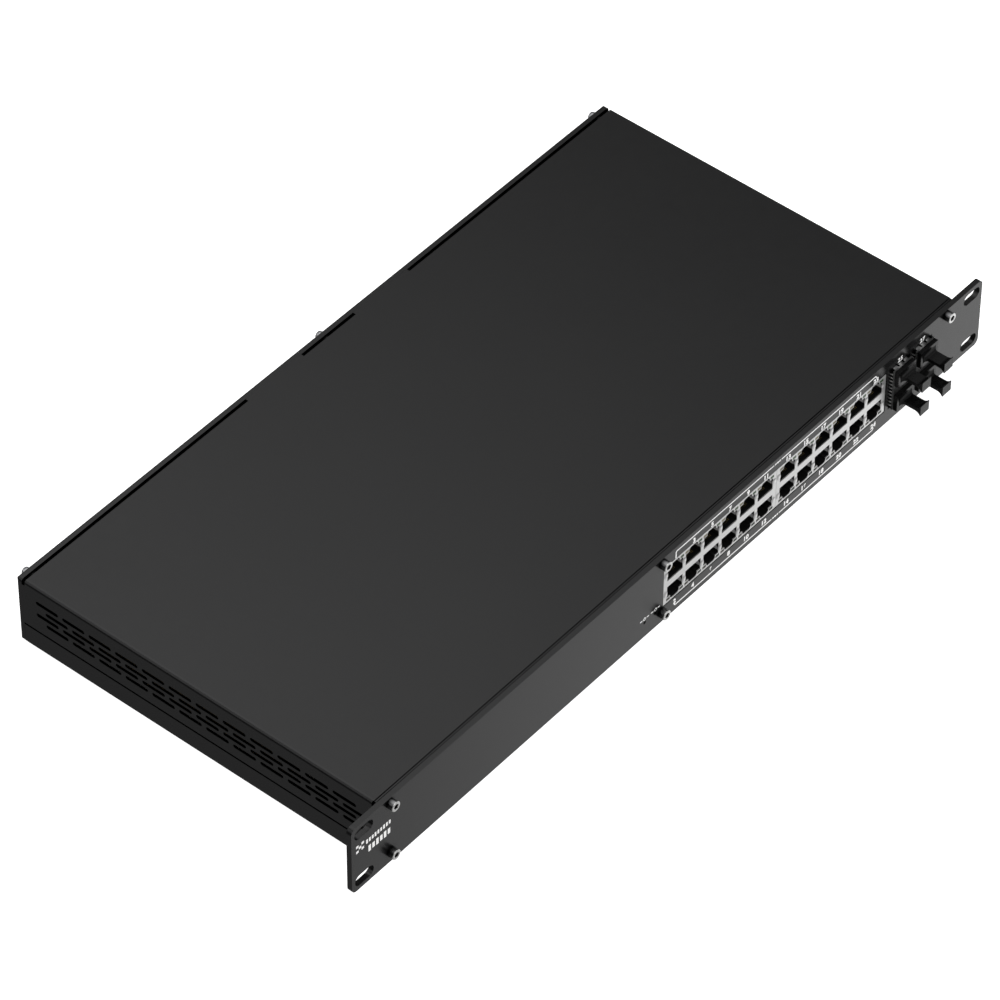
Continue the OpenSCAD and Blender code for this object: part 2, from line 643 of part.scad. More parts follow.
module inlet_screws() raised() color("silver") for (side = [-1, 1]) {
  at = [inlet_x + side * inlet_screw_dx, inlet_z];
  rear_screw(at, depth + 2.6, 2.8, 1.5, 1.4, 9);
  rear_nut(at, 3.1, 2.4, 1.5);
}
// Paths from the inlet blades, [x, y, z]; the last runs to the ground screw
mains_paths = [
  [[-177, 199.4, -2], [-177, 194, -2], [-176, 189, -8], [-176, 186, -12.5]],
  [[-163, 199.4, -2], [-163, 194, -2], [-158, 189, -8], [-158, 186, -12.5]],
  [[-170, 199.4, 2], [-165, 196, 4], [-135, 208, 2], [-124, 213, -4], [-122, 215.1, -6]]];
module mains_wires() raised() color([0.5, 0.3, 0.15])
  for (path = mains_paths) wire(path, 1.1);
module dc_connectors() raised() color("ivory") {
  part([-86, 148], [-76, 172], 9);
  part([-28, 140], [-18, 164], 9);
  for (x = [-28, 32]) part([x, 172], [x + 8, 177], 6);
}
module dc_wires() raised() color([0.6, 0.08, 0.06]) for (k = [0 : 5]) {
  y0 = 151 + k * 3.6;
  y1 = 143 + k * 3.6;
  wire([[-74.7, y0, -9], [-66, y0 - 1, -6], [-55, (y0 + y1) / 2, -4], [-42, y1 + 1, -5],
    [-29.3, y1, -9]], 1.1);
}
// Screw, washer and nut
module ground_screw() raised() color("silver") {
  rear_screw(ground_xz, depth + 0.8, 3.6, 2.4, 1.95, 9.4);
  difference() {
    rod(ground_xz, 4.4, depth, depth + 0.78);
    rod(ground_xz, 2.05, depth - 1, depth + 2);
  }
  rear_nut(ground_xz, 4, 3.2, 2);
}

// Fans
module fan_frame(x) translate([x, 0, fan_z]) difference() {
  half = fan_s / 2;
  union() {
    extrude_y(fan_y, fan_y + fan_t) difference() {
      round_rect(-half, -half, half, half, 3);
      circle(18.7);
      for (p = fan_holes) translate(p) circle(1.7);
    }
    // Hub disc on three struts
    extrude_y(fan_y, fan_y + 2) {
      circle(10.5);
      for (angle = [30, 150, 270]) rotate(angle) translate([0, -1.2]) square([19, 2.4]);
    }
    extrude_y(fan_y, fan_y + 6) circle(2.6);
  }
  extrude_y(fan_y + 1, fan_y + 7) circle(1.05);
}
module fan_rotor(x) translate([x, 0, fan_z]) {
  axis = [0, 0];
  difference() {
    rod(axis, 9.6, fan_y + 2.6, fan_y + 17);
    rod(axis, 8.6, fan_y + 1, fan_y + 15.6);
  }
  rod(axis, 1, fan_y + 1.2, fan_y + 15.7);
  // Blades, trimmed to a ring round the hub
  intersection() {
    for (k = [0 : blades - 1]) rotate([0, k * 360 / blades, 0])
      translate([13.5, fan_y + 10, 0]) rotate([38, 0, 0]) cube([10, 15, 1.1], center = true);
    difference() {
      rod(axis, 18.1, fan_y + 4, fan_y + 16.5);
      rod(axis, 9.2, fan_y, fan_y + 20);
    }
  }
}
module fan_frame_left() raised() color([0.07, 0.07, 0.07]) fan_frame(fan_x[0]);
module fan_rotor_left() raised() color([0.1, 0.1, 0.1]) fan_rotor(fan_x[0]);
module fan_frame_right() raised() color([0.07, 0.07, 0.07]) fan_frame(fan_x[1]);
module fan_rotor_right() raised() color([0.1, 0.1, 0.1]) fan_rotor(fan_x[1]);
module fan_screws() raised() color([0.15, 0.15, 0.15]) for (x = fan_x, p = fan_holes)
  rear_screw([x + p[0], fan_z + p[1]], depth, 2.7, 1.8, 1.5, 8);
module fan_leads() raised() color([0.7, 0.1, 0.1]) for (x = fan_x, k = [0, 1]) {
  fan_end = x + 10 + k * 3;
  plug_end = (x > 0 ? 34.5 : -25.5) + k * 3;
  wire([[fan_end, fan_y - 0.8, -17], [fan_end, fan_y - 6, -17], [plug_end, 193, -8],
    [plug_end, 184, -7], [plug_end, 177.9, -11]], 0.7);
}

front_plate();
base_tray();
top_cover();
rear_panel();
front_screws();
front_nut_blocks();
rear_screws();
rear_standoffs();
main_board();
board_standoffs();
board_screws();
jack_housing_left();
jack_housing_right();
jack_shield_left();
jack_shield_right();
jack_contacts();
amber_lights();
green_lights();
module_cage_left();
module_cage_right();
spring_fingers_left();
spring_fingers_right();
module_connectors();
dust_plug_upper_left();
dust_plug_lower_left();
dust_plug_upper_right();
dust_plug_lower_right();
status_light_pipe();
status_light();
reset_switch();
reset_plunger();
switch_chip();
switch_heatsink();
line_chips();
line_heatsinks();
small_chips();
board_coils();
board_capacitors();
supply_board();
supply_standoffs();
supply_screws();
supply_insulator();
transformer();
supply_capacitors();
supply_heatsinks();
filter_choke();
filter_parts();
mains_inlet();
inlet_blades();
inlet_screws();
mains_wires();
dc_connectors();
dc_wires();
ground_screw();
fan_frame_left();
fan_rotor_left();
fan_frame_right();
fan_rotor_right();
fan_screws();
fan_leads();
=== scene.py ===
"""A rack-mount case: jacks and module cages in its front plate, two fans and a mains inlet behind.

The frame's x runs to the right seen from the front, y from the front plate to the back, z up.
Added pieces are measured in millimetres at the case's own level; make() turns them into the
frame's metres. Materials, lights and the camera are in metres.
"""

import json
import math

import bmesh
import bpy
from mathutils import Matrix, Vector

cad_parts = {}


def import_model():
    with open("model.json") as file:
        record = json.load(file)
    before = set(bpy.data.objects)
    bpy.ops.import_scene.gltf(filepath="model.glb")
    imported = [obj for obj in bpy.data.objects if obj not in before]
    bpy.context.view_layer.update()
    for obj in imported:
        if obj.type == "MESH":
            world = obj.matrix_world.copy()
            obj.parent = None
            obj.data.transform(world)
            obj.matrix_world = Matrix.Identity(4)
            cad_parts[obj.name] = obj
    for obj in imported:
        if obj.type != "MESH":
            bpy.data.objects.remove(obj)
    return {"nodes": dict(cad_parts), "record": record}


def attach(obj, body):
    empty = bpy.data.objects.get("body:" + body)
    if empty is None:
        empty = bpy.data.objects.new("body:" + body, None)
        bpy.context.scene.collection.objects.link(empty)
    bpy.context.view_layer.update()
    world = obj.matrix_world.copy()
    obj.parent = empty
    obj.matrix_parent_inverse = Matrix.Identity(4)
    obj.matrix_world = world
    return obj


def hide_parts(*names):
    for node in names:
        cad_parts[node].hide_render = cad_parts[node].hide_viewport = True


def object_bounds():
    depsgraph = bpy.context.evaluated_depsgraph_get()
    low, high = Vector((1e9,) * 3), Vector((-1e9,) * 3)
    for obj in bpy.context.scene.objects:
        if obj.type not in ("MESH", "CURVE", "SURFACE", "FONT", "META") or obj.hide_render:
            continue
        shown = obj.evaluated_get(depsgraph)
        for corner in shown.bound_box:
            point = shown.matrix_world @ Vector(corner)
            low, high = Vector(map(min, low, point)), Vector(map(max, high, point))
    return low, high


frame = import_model()
CAD_LO, CAD_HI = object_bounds()
NODES = frame["nodes"]

MM = 0.001
LEVEL = 0.55         # height of the case's own level above the slot centre
FACE = -3.0          # y of the plate's front face
BACK = 225.0         # y of the seats of the screw heads on the back

# front posts and rear screws, as (x, z)
POST_SPOTS = [(x, z) for x in (-214, -14, 211.3) for z in (18.1, -15.3)]
POST_END = FACE - 3.8
REAR_SPOTS = [(x, z) for z in (17.8, -14.6) for x in (-213.3, -0.6, 212.8)]

# two runs of six columns of jacks
JACK_PITCH = 14
JACK_X = [start + JACK_PITCH * i for start in (-3.75, 83.85) for i in range(6)]
JACK_Y = FACE + 0.2
JACK_Z = 0.27

FAN_X = (-40.2, 40.2)
FAN_Z = -0.4
FAN_Y = 203.8
FAN_SCREW_OFFSET = 16


# ---------------------------------------------------------------- shader graphs
class Graph:
    """The emptied node tree of a material or a world."""

    def __init__(self, owner):
        owner.use_nodes = True
        self.tree = owner.node_tree
        self.tree.nodes.clear()

    def put(self, socket, value):
        """Links a socket to another, or sets its value."""
        if isinstance(value, bpy.types.NodeSocket):
            self.tree.links.new(value, socket)
        elif isinstance(value, tuple) and len(value) == 3 and socket.type == "RGBA":
            socket.default_value = (*value, 1)
        else:
            socket.default_value = value

    def node(self, kind, inputs=None, **settings):
        """A new node; its inputs are given by name or number."""
        node = self.tree.nodes.new("ShaderNode" + kind)
        for key, value in settings.items():
            setattr(node, key, value)
        for key, value in (inputs or {}).items():
            self.put(node.inputs[key], value)
        return node

    def math(self, operation, first, second=0.0, clamp=False):
        node = self.node("Math", {0: first, 1: second}, operation=operation, use_clamp=clamp)
        return node.outputs[0]

    def dot(self, first, second):
        node = self.node("VectorMath", {0: first, 1: second}, operation="DOT_PRODUCT")
        return node.outputs["Value"]

    def fit(self, value, within=(0.3, 0.7), to=(0.0, 1.0), **settings):
        """Maps one range to another. The default range is the middle of a noise's spread."""
        return self.node("MapRange", {
            "Value": value, "From Min": within[0], "From Max": within[1],
            "To Min": to[0], "To Max": to[1]}, **settings).outputs[0]

    def part(self, vector, index):
        """The x, y or z part of a vector."""
        return self.node("SeparateXYZ", {0: vector}).outputs[index]


SURFACE_INPUTS = {
    "base": "Base Color", "rough": "Roughness", "metallic": "Metallic", "ior": "IOR",
    "specular": "Specular IOR Level", "coat": "Coat Weight", "coat_rough": "Coat Roughness",
    "subsurface": "Subsurface Weight", "glow": "Emission Color", "glow_strength": "Emission Strength",
}


class Material(Graph):
    """A principled material built a step at a time, in the object's own coordinates."""

    def __init__(self, name):
        self.data = bpy.data.materials.new(name)
        super().__init__(self.data)
        output = self.node("OutputMaterial")
        self.surface = self.node("BsdfPrincipled")
        self.put(output.inputs[0], self.surface.outputs[0])
        self.coords = self.node("TexCoord").outputs["Object"]
        self.normal = None

    def set(self, **values):
        for key, value in values.items():
            self.put(self.surface.inputs[SURFACE_INPUTS[key]], value)

    def stretched(self, x, y, z):
        node = self.node("Mapping", {"Scale": (x, y, z), "Vector": self.coords})
        return node.outputs[0]

    def noise(self, scale, detail=3, rough=0.5, coords=None):
        return self.node("TexNoise", {
            "Vector": coords or self.coords, "Scale": scale, "Detail": detail,
            "Roughness": rough}).outputs["Fac"]

    def cells(self, scale, coords=None, randomness=1.0):
        """Distance to the nearest of a scatter of points."""
        return self.node("TexVoronoi", {
            "Vector": coords or self.coords, "Scale": scale,
            "Randomness": randomness}).outputs["Distance"]

    def mix(self, factor, first, second):
        node = self.node("Mix", data_type="RGBA", clamp_factor=True)
        for index, value in ((0, factor), (6, first), (7, second)):
            self.put(node.inputs[index], value)
        return node.outputs[2]

    def bump(self, height, strength, distance):
        """Adds relief on top of any relief already there."""
        node = self.node("Bump", {"Strength": strength, "Distance": distance, "Height": height})
        if self.normal is not None:
            self.put(node.inputs["Normal"], self.normal)
        self.normal = node.outputs[0]
        self.put(self.surface.inputs["Normal"], self.normal)

    def ao_for_painted_shade(self, distance, within):
        """0 deep in a gap, 1 out in the open; ambient occlusion used to paint shade into colour."""
        node = self.node("AmbientOcclusion", {"Distance": distance}, samples=6)
        return self.fit(node.outputs["AO"], within=within)

    def axis(self, index):
        return self.part(self.coords, index)

    def between(self, value, low, high):
        """1 where the value lies between the limits, otherwise 0."""
        return self.math("MULTIPLY", self.math("GREATER_THAN", value, low),
                         self.math("LESS_THAN", value, high))

    def edges(self, radius):
        """1 along a worn edge, 0 on a flat."""
        rounded = self.node("Bevel", {"Radius": radius}, samples=4).outputs[0]
        true = self.node("NewGeometry").outputs["Normal"]
        turn = self.math("SUBTRACT", 1.0, self.dot(rounded, true))
        return self.fit(turn, within=(0.02, 0.25))


def tint(colour, factor, add=0.0):
    return tuple(min(1.0, c * factor + add) for c in colour)


def grey(value):
    return (value,) * 3


# ---------------------------------------------------------------- kinds of material
def painted_shade_inside_case(mat):
    """1 where black is painted in as shade: on cut edges and inner faces of the case's sheets and in
    the thin groove behind the front plate; 0 on its outer skin.
    """
    half_width, half_height, centre_z = 0.2191, 0.019675, 0.000125   # a core inside the skin
    beside = mat.math("SUBTRACT", mat.math("ABSOLUTE", mat.axis(0)), half_width)
    height = mat.math("SUBTRACT", mat.axis(2), centre_z)
    above = mat.math("SUBTRACT", mat.math("ABSOLUTE", height), half_height)
    out_x = mat.math("MAXIMUM", beside, 0.0)
    out_z = mat.math("MAXIMUM", above, 0.0)
    squares = mat.math("ADD", mat.math("MULTIPLY", out_x, out_x), mat.math("MULTIPLY", out_z, out_z))
    outside = mat.math("SQRT", squares)
    inside = mat.math("MINIMUM", mat.math("MAXIMUM", beside, above), 0.0)
    distance = mat.math("ADD", outside, inside)
    y = mat.axis(1)

    def zone(reach, front, back):
        return mat.math("MULTIPLY", mat.math("LESS_THAN", distance, reach),
                        mat.between(y, front, back))

    # painted shade: the inner faces and the front groove are kept black
    deep = zone(reach=0.00172, front=0.00125, back=0.2235)
    groove = zone(reach=0.0016, front=0.0001, back=0.0006)
    return mat.math("MAXIMUM", deep, groove)


def powder_coat():
    mat = Material("powder_coat_black")
    # painted shade: ambient occlusion darkens the base colour and specular towards black in gaps
    free_of_painted_shade = mat.ao_for_painted_shade(distance=0.004, within=(0.25, 0.8))
    broad = mat.noise(scale=9, rough=0.55)
    cloud = mat.noise(scale=140, detail=4, rough=0.6)
    grain = mat.noise(scale=5200, detail=2, rough=0.6)
    peel = mat.noise(scale=1500, rough=0.55)
    tone = mat.mix(mat.fit(broad), (0.0088, 0.0088, 0.0091), (0.0108, 0.0108, 0.0110))
    clouding = mat.fit(cloud, within=(0.35, 0.75), to=(0.0, 0.35))
    tone = mat.mix(clouding, tone, (0.0135, 0.0135, 0.0137))
    speck = mat.fit(mat.cells(scale=2600), within=(0.05, 0.16), to=(1.0, 0.0))
    tone = mat.mix(mat.math("MULTIPLY", speck, 0.35), tone, grey(0.03))
    patches = mat.noise(scale=420, detail=4, rough=0.6)
    patches = mat.fit(patches, within=(0.35, 0.65), to=(0.15, 0.85))
    worn = mat.math("MULTIPLY", mat.edges(radius=0.00035), patches, clamp=True)
    tone = mat.mix(worn, tone, (0.034, 0.034, 0.035))
    # painted shade: inner faces and the front groove go black as well
    skin = mat.math("SUBTRACT", 1.0, painted_shade_inside_case(mat))
    free_of_painted_shade = mat.math("MULTIPLY", free_of_painted_shade, skin)
    rough = mat.mix(mat.fit(cloud), grey(0.21), grey(0.26))
    mat.set(base=mat.mix(free_of_painted_shade, grey(0.0), tone), ior=1.47,
            specular=mat.math("MULTIPLY", free_of_painted_shade, 0.5),
            rough=mat.mix(worn, rough, grey(0.2)))
    mat.bump(peel, strength=0.05, distance=0.00012)
    mat.bump(grain, strength=0.06, distance=0.00003)
    return mat.data


def metal(name, colour, rough, scale, dark, streak=(1, 1, 1), amount=0.5, edge=True,
          stain=0.25, gap=0.0, metallic=1.0, shade=None):
    """Brushed metal.

    scale and streak shape the brushing, which darkens by dark, at most by amount; stain is
    the strength of stains, gap the reach of painted shade in gaps, and shade a range of y painted
    near-black as shade.
    """
    mat = Material(name)
    brushed = mat.noise(scale=scale, detail=5, rough=0.65, coords=mat.stretched(*streak))
    stains = mat.noise(scale=130, detail=4, rough=0.6)
    fine = mat.noise(scale=4200, detail=2)
    brushing = mat.fit(brushed, within=(0.3, 0.75), to=(0.0, amount))
    tone = mat.mix(brushing, colour, tint(colour, dark))
    staining = mat.fit(stains, within=(0.5, 0.85), to=(0.0, stain))
    tone = mat.mix(staining, tone, tint(colour, 0.6))
    if edge:
        tone = mat.mix(mat.edges(radius=0.00015), tone, tint(colour, 1.15))
    # painted shade: the tone falls to near-black where ambient occlusion finds a gap
    if gap:
        tone = mat.mix(mat.ao_for_painted_shade(distance=gap, within=(0.3, 0.85)), grey(0.012), tone)
    # painted shadow: a band of y kept near-black
    if shade:
        tone = mat.mix(mat.between(mat.axis(1), *shade), tone, grey(0.006))
    mat.set(base=tone, metallic=metallic, rough=mat.fit(brushed, to=(rough * 0.8, rough * 1.3)))
    mat.bump(brushed, strength=0.08, distance=0.00004)
    mat.bump(fine, strength=0.05, distance=0.00002)
    return mat.data


def plastic(name, colour, rough, grain, bump, worn=True, ior=1.48, coat=0.0, vary=0.25):
    """Moulded plastic; grain is the scale of its relief, vary the spread of its tone."""
    mat = Material(name)
    broad = mat.noise(scale=60, detail=4, rough=0.6)
    relief = mat.noise(scale=grain, rough=0.6)
    tone = mat.mix(mat.fit(broad), tint(colour, 1 - vary), tint(colour, 1 + vary, add=0.0005))
    if worn:
        wear = mat.math("MULTIPLY", mat.edges(radius=0.0003), 0.5)
        tone = mat.mix(wear, tone, tint(colour, 1.6, add=0.01))
    gloss = mat.noise(scale=300, rough=0.6)
    mat.set(base=tone, ior=ior, rough=mat.fit(gloss, to=(rough * 0.85, rough * 1.15)), coat=coat)
    mat.bump(relief, strength=bump, distance=0.00004)
    return mat.data


def lens(name, colour, lower=None):
    """Tinted plastic; the row below the middle may have its own, deeper tint."""
    mat = Material(name)
    swirl = mat.noise(scale=900)
    tone = mat.mix(mat.fit(swirl), tint(colour, 0.8), tint(colour, 1.2))
    if lower:
        deep = mat.mix(mat.fit(swirl), tint(lower, 0.75), tint(lower, 1.25))
        tone = mat.mix(mat.math("LESS_THAN", mat.axis(2), 0.0), tone, deep)
    mat.set(base=tone, rough=mat.fit(swirl, to=(0.2, 0.32)), ior=1.3, subsurface=0.02)
    mat.bump(mat.noise(scale=2600, detail=2), strength=0.08, distance=0.00003)
    return mat.data


def circuit_board(name, mask, trace):
    """Solder mask over patches of parallel traces, with scattered plated holes."""
    mat = Material(name)
    flat = mat.stretched(1, 1, 0.001)
    lines = mat.node("TexBrick", {
        "Vector": flat, "Scale": 150, "Mortar Size": 0.06, "Mortar Smooth": 0.2,
        "Brick Width": 1.9, "Row Height": 0.22,
        "Color1": grey(0.0), "Color2": grey(0.0), "Mortar": grey(1.0)}).outputs["Color"]
    patches = mat.fit(mat.noise(scale=45, detail=2, coords=flat), within=(0.46, 0.54))
    traces = mat.math("MULTIPLY", lines, patches)
    holes = mat.cells(scale=330, coords=flat, randomness=0.85)
    holes = mat.fit(holes, within=(0.10, 0.15), to=(1.0, 0.0))
    broad = mat.fit(mat.noise(scale=30, detail=4, rough=0.6))
    tone = mat.mix(broad, tint(mask, 0.8), mask)
    tone = mat.mix(mat.math("MULTIPLY", traces, 0.6), tone, trace)
    tone = mat.mix(mat.math("MULTIPLY", holes, 0.7), tone, (0.55, 0.45, 0.22))
    mat.set(base=tone, rough=mat.fit(mat.noise(scale=500), to=(0.2, 0.34)),
            coat=0.4, coat_rough=0.15)
    mat.bump(traces, strength=0.25, distance=0.00004)
    mat.bump(mat.noise(scale=2500, detail=2), strength=0.05, distance=0.00002)
    return mat.data


def white_print_painted_glow():
    mat = Material("white_print_painted_glow")
    mottle = mat.noise(scale=3200, rough=0.6)
    tone = mat.mix(mat.fit(mottle, within=(0.4, 0.75)), (0.93, 0.93, 0.92), grey(0.8))
    # painted light: the print glows by emitting its own tone
    mat.set(base=tone, rough=mat.fit(mottle, to=(0.45, 0.65)), glow=tone, glow_strength=0.5)
    mat.bump(mottle, strength=0.15, distance=0.00002)
    return mat.data


def turned_steel(name, colour, rough):
    """Steel turned about y: fine rings along it, with painted shade darkening it towards the plate.
    """
    mat = Material(name)
    rings = mat.noise(scale=9000, detail=2, coords=mat.stretched(0.25, 1, 0.25))
    soft = mat.noise(scale=500, rough=0.6)
    tone = mat.mix(mat.fit(rings, within=(0.35, 0.7)), colour, tint(colour, 0.86))
    staining = mat.fit(soft, within=(0.5, 0.8), to=(0.0, 0.3))
    tone = mat.mix(staining, tone, tint(colour, 0.6))
    # painted shade: the tone falls to near-black near the plate, where the plate blocks its
    # reflections
    clear = mat.fit(mat.axis(1), within=(-0.0066, -0.0036), to=(1.0, 0.0))
    tone = mat.mix(clear, tint(colour, 0.06), tone)
    mat.set(base=tone, metallic=1.0, rough=mat.fit(rings, to=(rough * 0.8, rough * 1.25)))
    mat.bump(rings, strength=0.12, distance=0.00003)
    return mat.data


def winding(name, colour):
    """Enamelled wire wound in turns along x."""
    mat = Material(name)
    turns = mat.node("TexWave", {
        "Vector": mat.stretched(1, 1, 0.2), "Scale": 260, "Distortion": 0.4}).outputs["Fac"]
    tone = mat.mix(turns, tint(colour, 0.45), colour)
    mat.set(base=tone, metallic=0.6, rough=0.32, coat=0.5)
    mat.bump(turns, strength=0.6, distance=0.0003)
    return mat.data


# ---------------------------------------------------------------- the materials
# one finish for each material slot of the frame
FINISH = {
    "black_powder_coat": powder_coat(),
    # metals
    "nickel_shield": metal(
        "nickel_shield", (0.84, 0.84, 0.835), rough=0.36, scale=240, dark=0.9,
        streak=(1, 1, 14), amount=0.45, stain=0.12, metallic=0.8),
    "spring_steel": metal(
        "spring_strip", (0.9, 0.9, 0.89), rough=0.24, scale=700, dark=0.9,
        stain=0.1, metallic=0.9),
    "zinc_steel": metal("zinc_steel", (0.66, 0.67, 0.69), rough=0.3, scale=500, dark=0.8),
    "dark_screw_steel": turned_steel("turned_post_side", (0.34, 0.34, 0.345), rough=0.24),
    "black_screw": metal(
        "black_screw", (0.09, 0.09, 0.095), rough=0.34, scale=600, dark=0.75, amount=0.4),
    "brass_standoff": metal(
        "turned_brass", (0.75, 0.56, 0.26), rough=0.26, scale=400, dark=0.8,
        streak=(1, 1, 20), amount=0.4),
    "gold_contact": metal(
        "gold_contact", (0.72, 0.56, 0.27), rough=0.25, scale=500, dark=0.85,
        streak=(1, 20, 1), amount=0.3, edge=False),
    "blade_metal": metal(
        "plated_blade", (0.74, 0.74, 0.72), rough=0.2, scale=300, dark=0.85,
        streak=(1, 20, 1), amount=0.3),
    "plain_aluminium": metal(
        "plain_aluminium", (0.72, 0.72, 0.74), rough=0.34, scale=90, dark=0.8,
        streak=(60, 1, 1)),
    "black_anodised": metal(
        "black_anodised", (0.045, 0.045, 0.048), rough=0.42, scale=90, dark=0.7,
        streak=(1, 60, 1)),
    "copper_winding": winding("enamelled_winding", (0.5, 0.2, 0.06)),
    # plastics and other mouldings
    "black_housing": plastic("connector_black", grey(0.008), rough=0.48, grain=2600, bump=0.15),
    "plug_rubber": plastic(
        "dust_plug_black", (0.0016, 0.0016, 0.0017), rough=0.27, grain=3400, bump=0.08,
        worn=False, ior=1.375),
    "fan_plastic": plastic(
        "fan_black", (0.012, 0.012, 0.0125), rough=0.38, grain=1800, bump=0.12),
    "rotor_plastic": plastic(
        "rotor_black", (0.016, 0.016, 0.0165), rough=0.33, grain=1800, bump=0.08),
    "chip_black": plastic("chip_epoxy", (0.02, 0.02, 0.021), rough=0.55, grain=3800, bump=0.35),
    "white_plastic": plastic(
        "ivory_plastic", (0.72, 0.69, 0.6), rough=0.42, grain=2000, bump=0.1, vary=0.08),
    "ferrite": plastic("ferrite_grey", (0.09, 0.09, 0.095), rough=0.5, grain=1500, bump=0.3),
    "capacitor_sleeve": plastic(
        "capacitor_sleeve", (0.02, 0.022, 0.045), rough=0.25, grain=1200, bump=0.05,
        ior=1.5, coat=0.3),
    "insulating_sheet": plastic(
        "insulating_sheet", (0.6, 0.58, 0.5), rough=0.5, grain=900, bump=0.08,
        worn=False, vary=0.06),
    "transformer_wrap": plastic(
        "transformer_tape", (0.5, 0.38, 0.06), rough=0.38, grain=700, bump=0.15,
        ior=1.5, coat=0.2, vary=0.12),
    "yellow_film": plastic(
        "film_capacitor_yellow", (0.68, 0.5, 0.06), rough=0.34, grain=900, bump=0.06,
        ior=1.5, coat=0.2, vary=0.08),
    "wire_brown": plastic(
        "wire_brown", (0.12, 0.05, 0.02), rough=0.3, grain=900, bump=0.05,
        worn=False, ior=1.5, coat=0.2, vary=0.1),
    "wire_red": plastic(
        "wire_red", (0.38, 0.02, 0.012), rough=0.3, grain=900, bump=0.05,
        worn=False, ior=1.5, coat=0.2, vary=0.1),
    # lenses and boards
    "clear_pipe": lens("light_pipe_clear", (0.05, 0.055, 0.05)),
    "amber_lens": lens("amber_lens", (0.28, 0.25, 0.17), lower=(0.02, 0.017, 0.006)),
    "green_lens": lens("green_lens", (0.07, 0.12, 0.065), lower=(0.002, 0.014, 0.003)),
    "green_laminate": circuit_board(
        "green_board", mask=(0.012, 0.085, 0.04), trace=(0.03, 0.19, 0.085)),
    "tan_laminate": circuit_board("tan_board", mask=(0.3, 0.2, 0.07), trace=(0.42, 0.3, 0.13)),
}
# the cage gets painted shade in its gaps and a painted shadow in the band of y under the fingers
CAGE = metal(
    "cage_nickel", grey(0.45), rough=0.3, scale=240, dark=0.85, streak=(1, 1, 14),
    amount=0.45, edge=False, stain=0.2, gap=0.0012, shade=(-0.0044, 0.002))
LEAF = metal(
    "spring_leaf", grey(0.85), rough=0.5, scale=300, dark=0.85, streak=(1, 20, 1),
    amount=0.45, stain=0.12, metallic=0.25)
# a darker copy of the spring steel: painted shade for the fingers' band, tops and right flanks
SPRING_PAINTED_SHADE = metal("spring_band_painted_shade", grey(0.36), rough=0.3, scale=700, dark=0.85)
POST_FACE = turned_steel("turned_post_end", (0.86, 0.86, 0.85), rough=0.3)
SOCKET = metal("post_socket", grey(0.03), rough=0.5, scale=500, dark=0.7, edge=False)
HOUSING = plastic(
    "jack_housing_black", (0.0042, 0.0042, 0.0043), rough=0.5, grain=2600, bump=0.15)
INLET = plastic("inlet_black", grey(0.012), rough=0.36, grain=2400, bump=0.14)
PRINT = white_print_painted_glow()

# pieces whose finish differs from that of their slot
SPECIAL = {
    "module_cage_left": CAGE, "module_cage_right": CAGE,
    "jack_housing_left": HOUSING, "jack_housing_right": HOUSING,
    "mains_inlet": INLET, "rear_standoffs": SOCKET,
}


def use_only(mesh, material):
    mesh.materials.clear()
    mesh.materials.append(material)
    for polygon in mesh.polygons:
        polygon.material_index = 0


def dress_frame():
    slot_of = {part["node"]: part["material_slot"] for part in frame["record"]["subparts"]}
    for name in NODES:
        use_only(NODES[name].data, SPECIAL.get(name, FINISH[slot_of[name]]))


# ---------------------------------------------------------------- meshes, in millimetres
class Build:
    """Vertices and faces gathered for one mesh."""

    def __init__(self):
        self.verts, self.faces = [], []

    def add(self, verts, faces):
        start = len(self.verts)
        self.verts += verts
        self.faces += [tuple(i + start for i in face) for face in faces]

    def box(self, low, high):
        (x0, y0, z0), (x1, y1, z1) = low, high
        self.add([(x0, y0, z0), (x1, y0, z0), (x1, y1, z0), (x0, y1, z0),
                  (x0, y0, z1), (x1, y0, z1), (x1, y1, z1), (x0, y1, z1)],
                 [(0, 3, 2, 1), (4, 5, 6, 7), (0, 1, 5, 4),
                  (1, 2, 6, 5), (2, 3, 7, 6), (3, 0, 4, 7)])

    def loft(self, sections):
        """Joins closed sections of equal count and caps both ends."""
        n = len(sections[0])
        last = (len(sections) - 1) * n
        faces = [(k + q, k + (q + 1) % n, k + n + (q + 1) % n, k + n + q)
                 for k in range(0, last, n) for q in range(n)]
        faces += [tuple(range(n)), tuple(last + q for q in reversed(range(n)))]
        self.add([point for section in sections for point in section], faces)

    def skin(self, rings):
        """Joins rings of points; a ring of one point is a pole."""
        numbered, start, faces = [], 0, []
        for ring in rings:
            numbered.append(range(start, start + len(ring)))
            start += len(ring)
        for one, two in zip(numbered, numbered[1:]):
            for k in range(max(len(one), len(two))):
                face = (one[k % len(one)], two[k % len(two)],
                        two[(k + 1) % len(two)], one[(k + 1) % len(one)])
                faces.append(tuple(dict.fromkeys(face)))
        self.add([point for ring in rings for point in ring], faces)


def circle(radius, count):
    """Points (x, z) round a circle, or the one point of a circle without size."""
    if not radius:
        return [(0.0, 0.0)]
    angles = [2 * math.pi * k / count for k in range(count)]
    return [(radius * math.cos(angle), radius * math.sin(angle)) for angle in angles]


def hexagon(radius, count):
    """Points round a hexagon of this inner radius, matched by angle to a circle's."""
    points = []
    for k in range(count):
        angle = 2 * math.pi * k / count
        from_flat = (angle + math.pi / 6) % (math.pi / 3) - math.pi / 6
        reach = radius / math.cos(from_flat)
        points.append((reach * math.cos(angle), reach * math.sin(angle)))
    return points


def placed(outline, x, y, z):
    return [(x + across, y, z + up) for across, up in outline]


def shade_smooth(mesh, angle):
    """Smooth faces, with edges sharper than the angle (degrees) kept sharp."""
    for polygon in mesh.polygons:
        polygon.use_smooth = True
    edit = bmesh.new()
    edit.from_mesh(mesh)
    for edge in edit.edges:
        joined = len(edge.link_faces) == 2
        edge.smooth = joined and edge.calc_face_angle(0) < math.radians(angle)
    edit.to_mesh(mesh)
    edit.free()


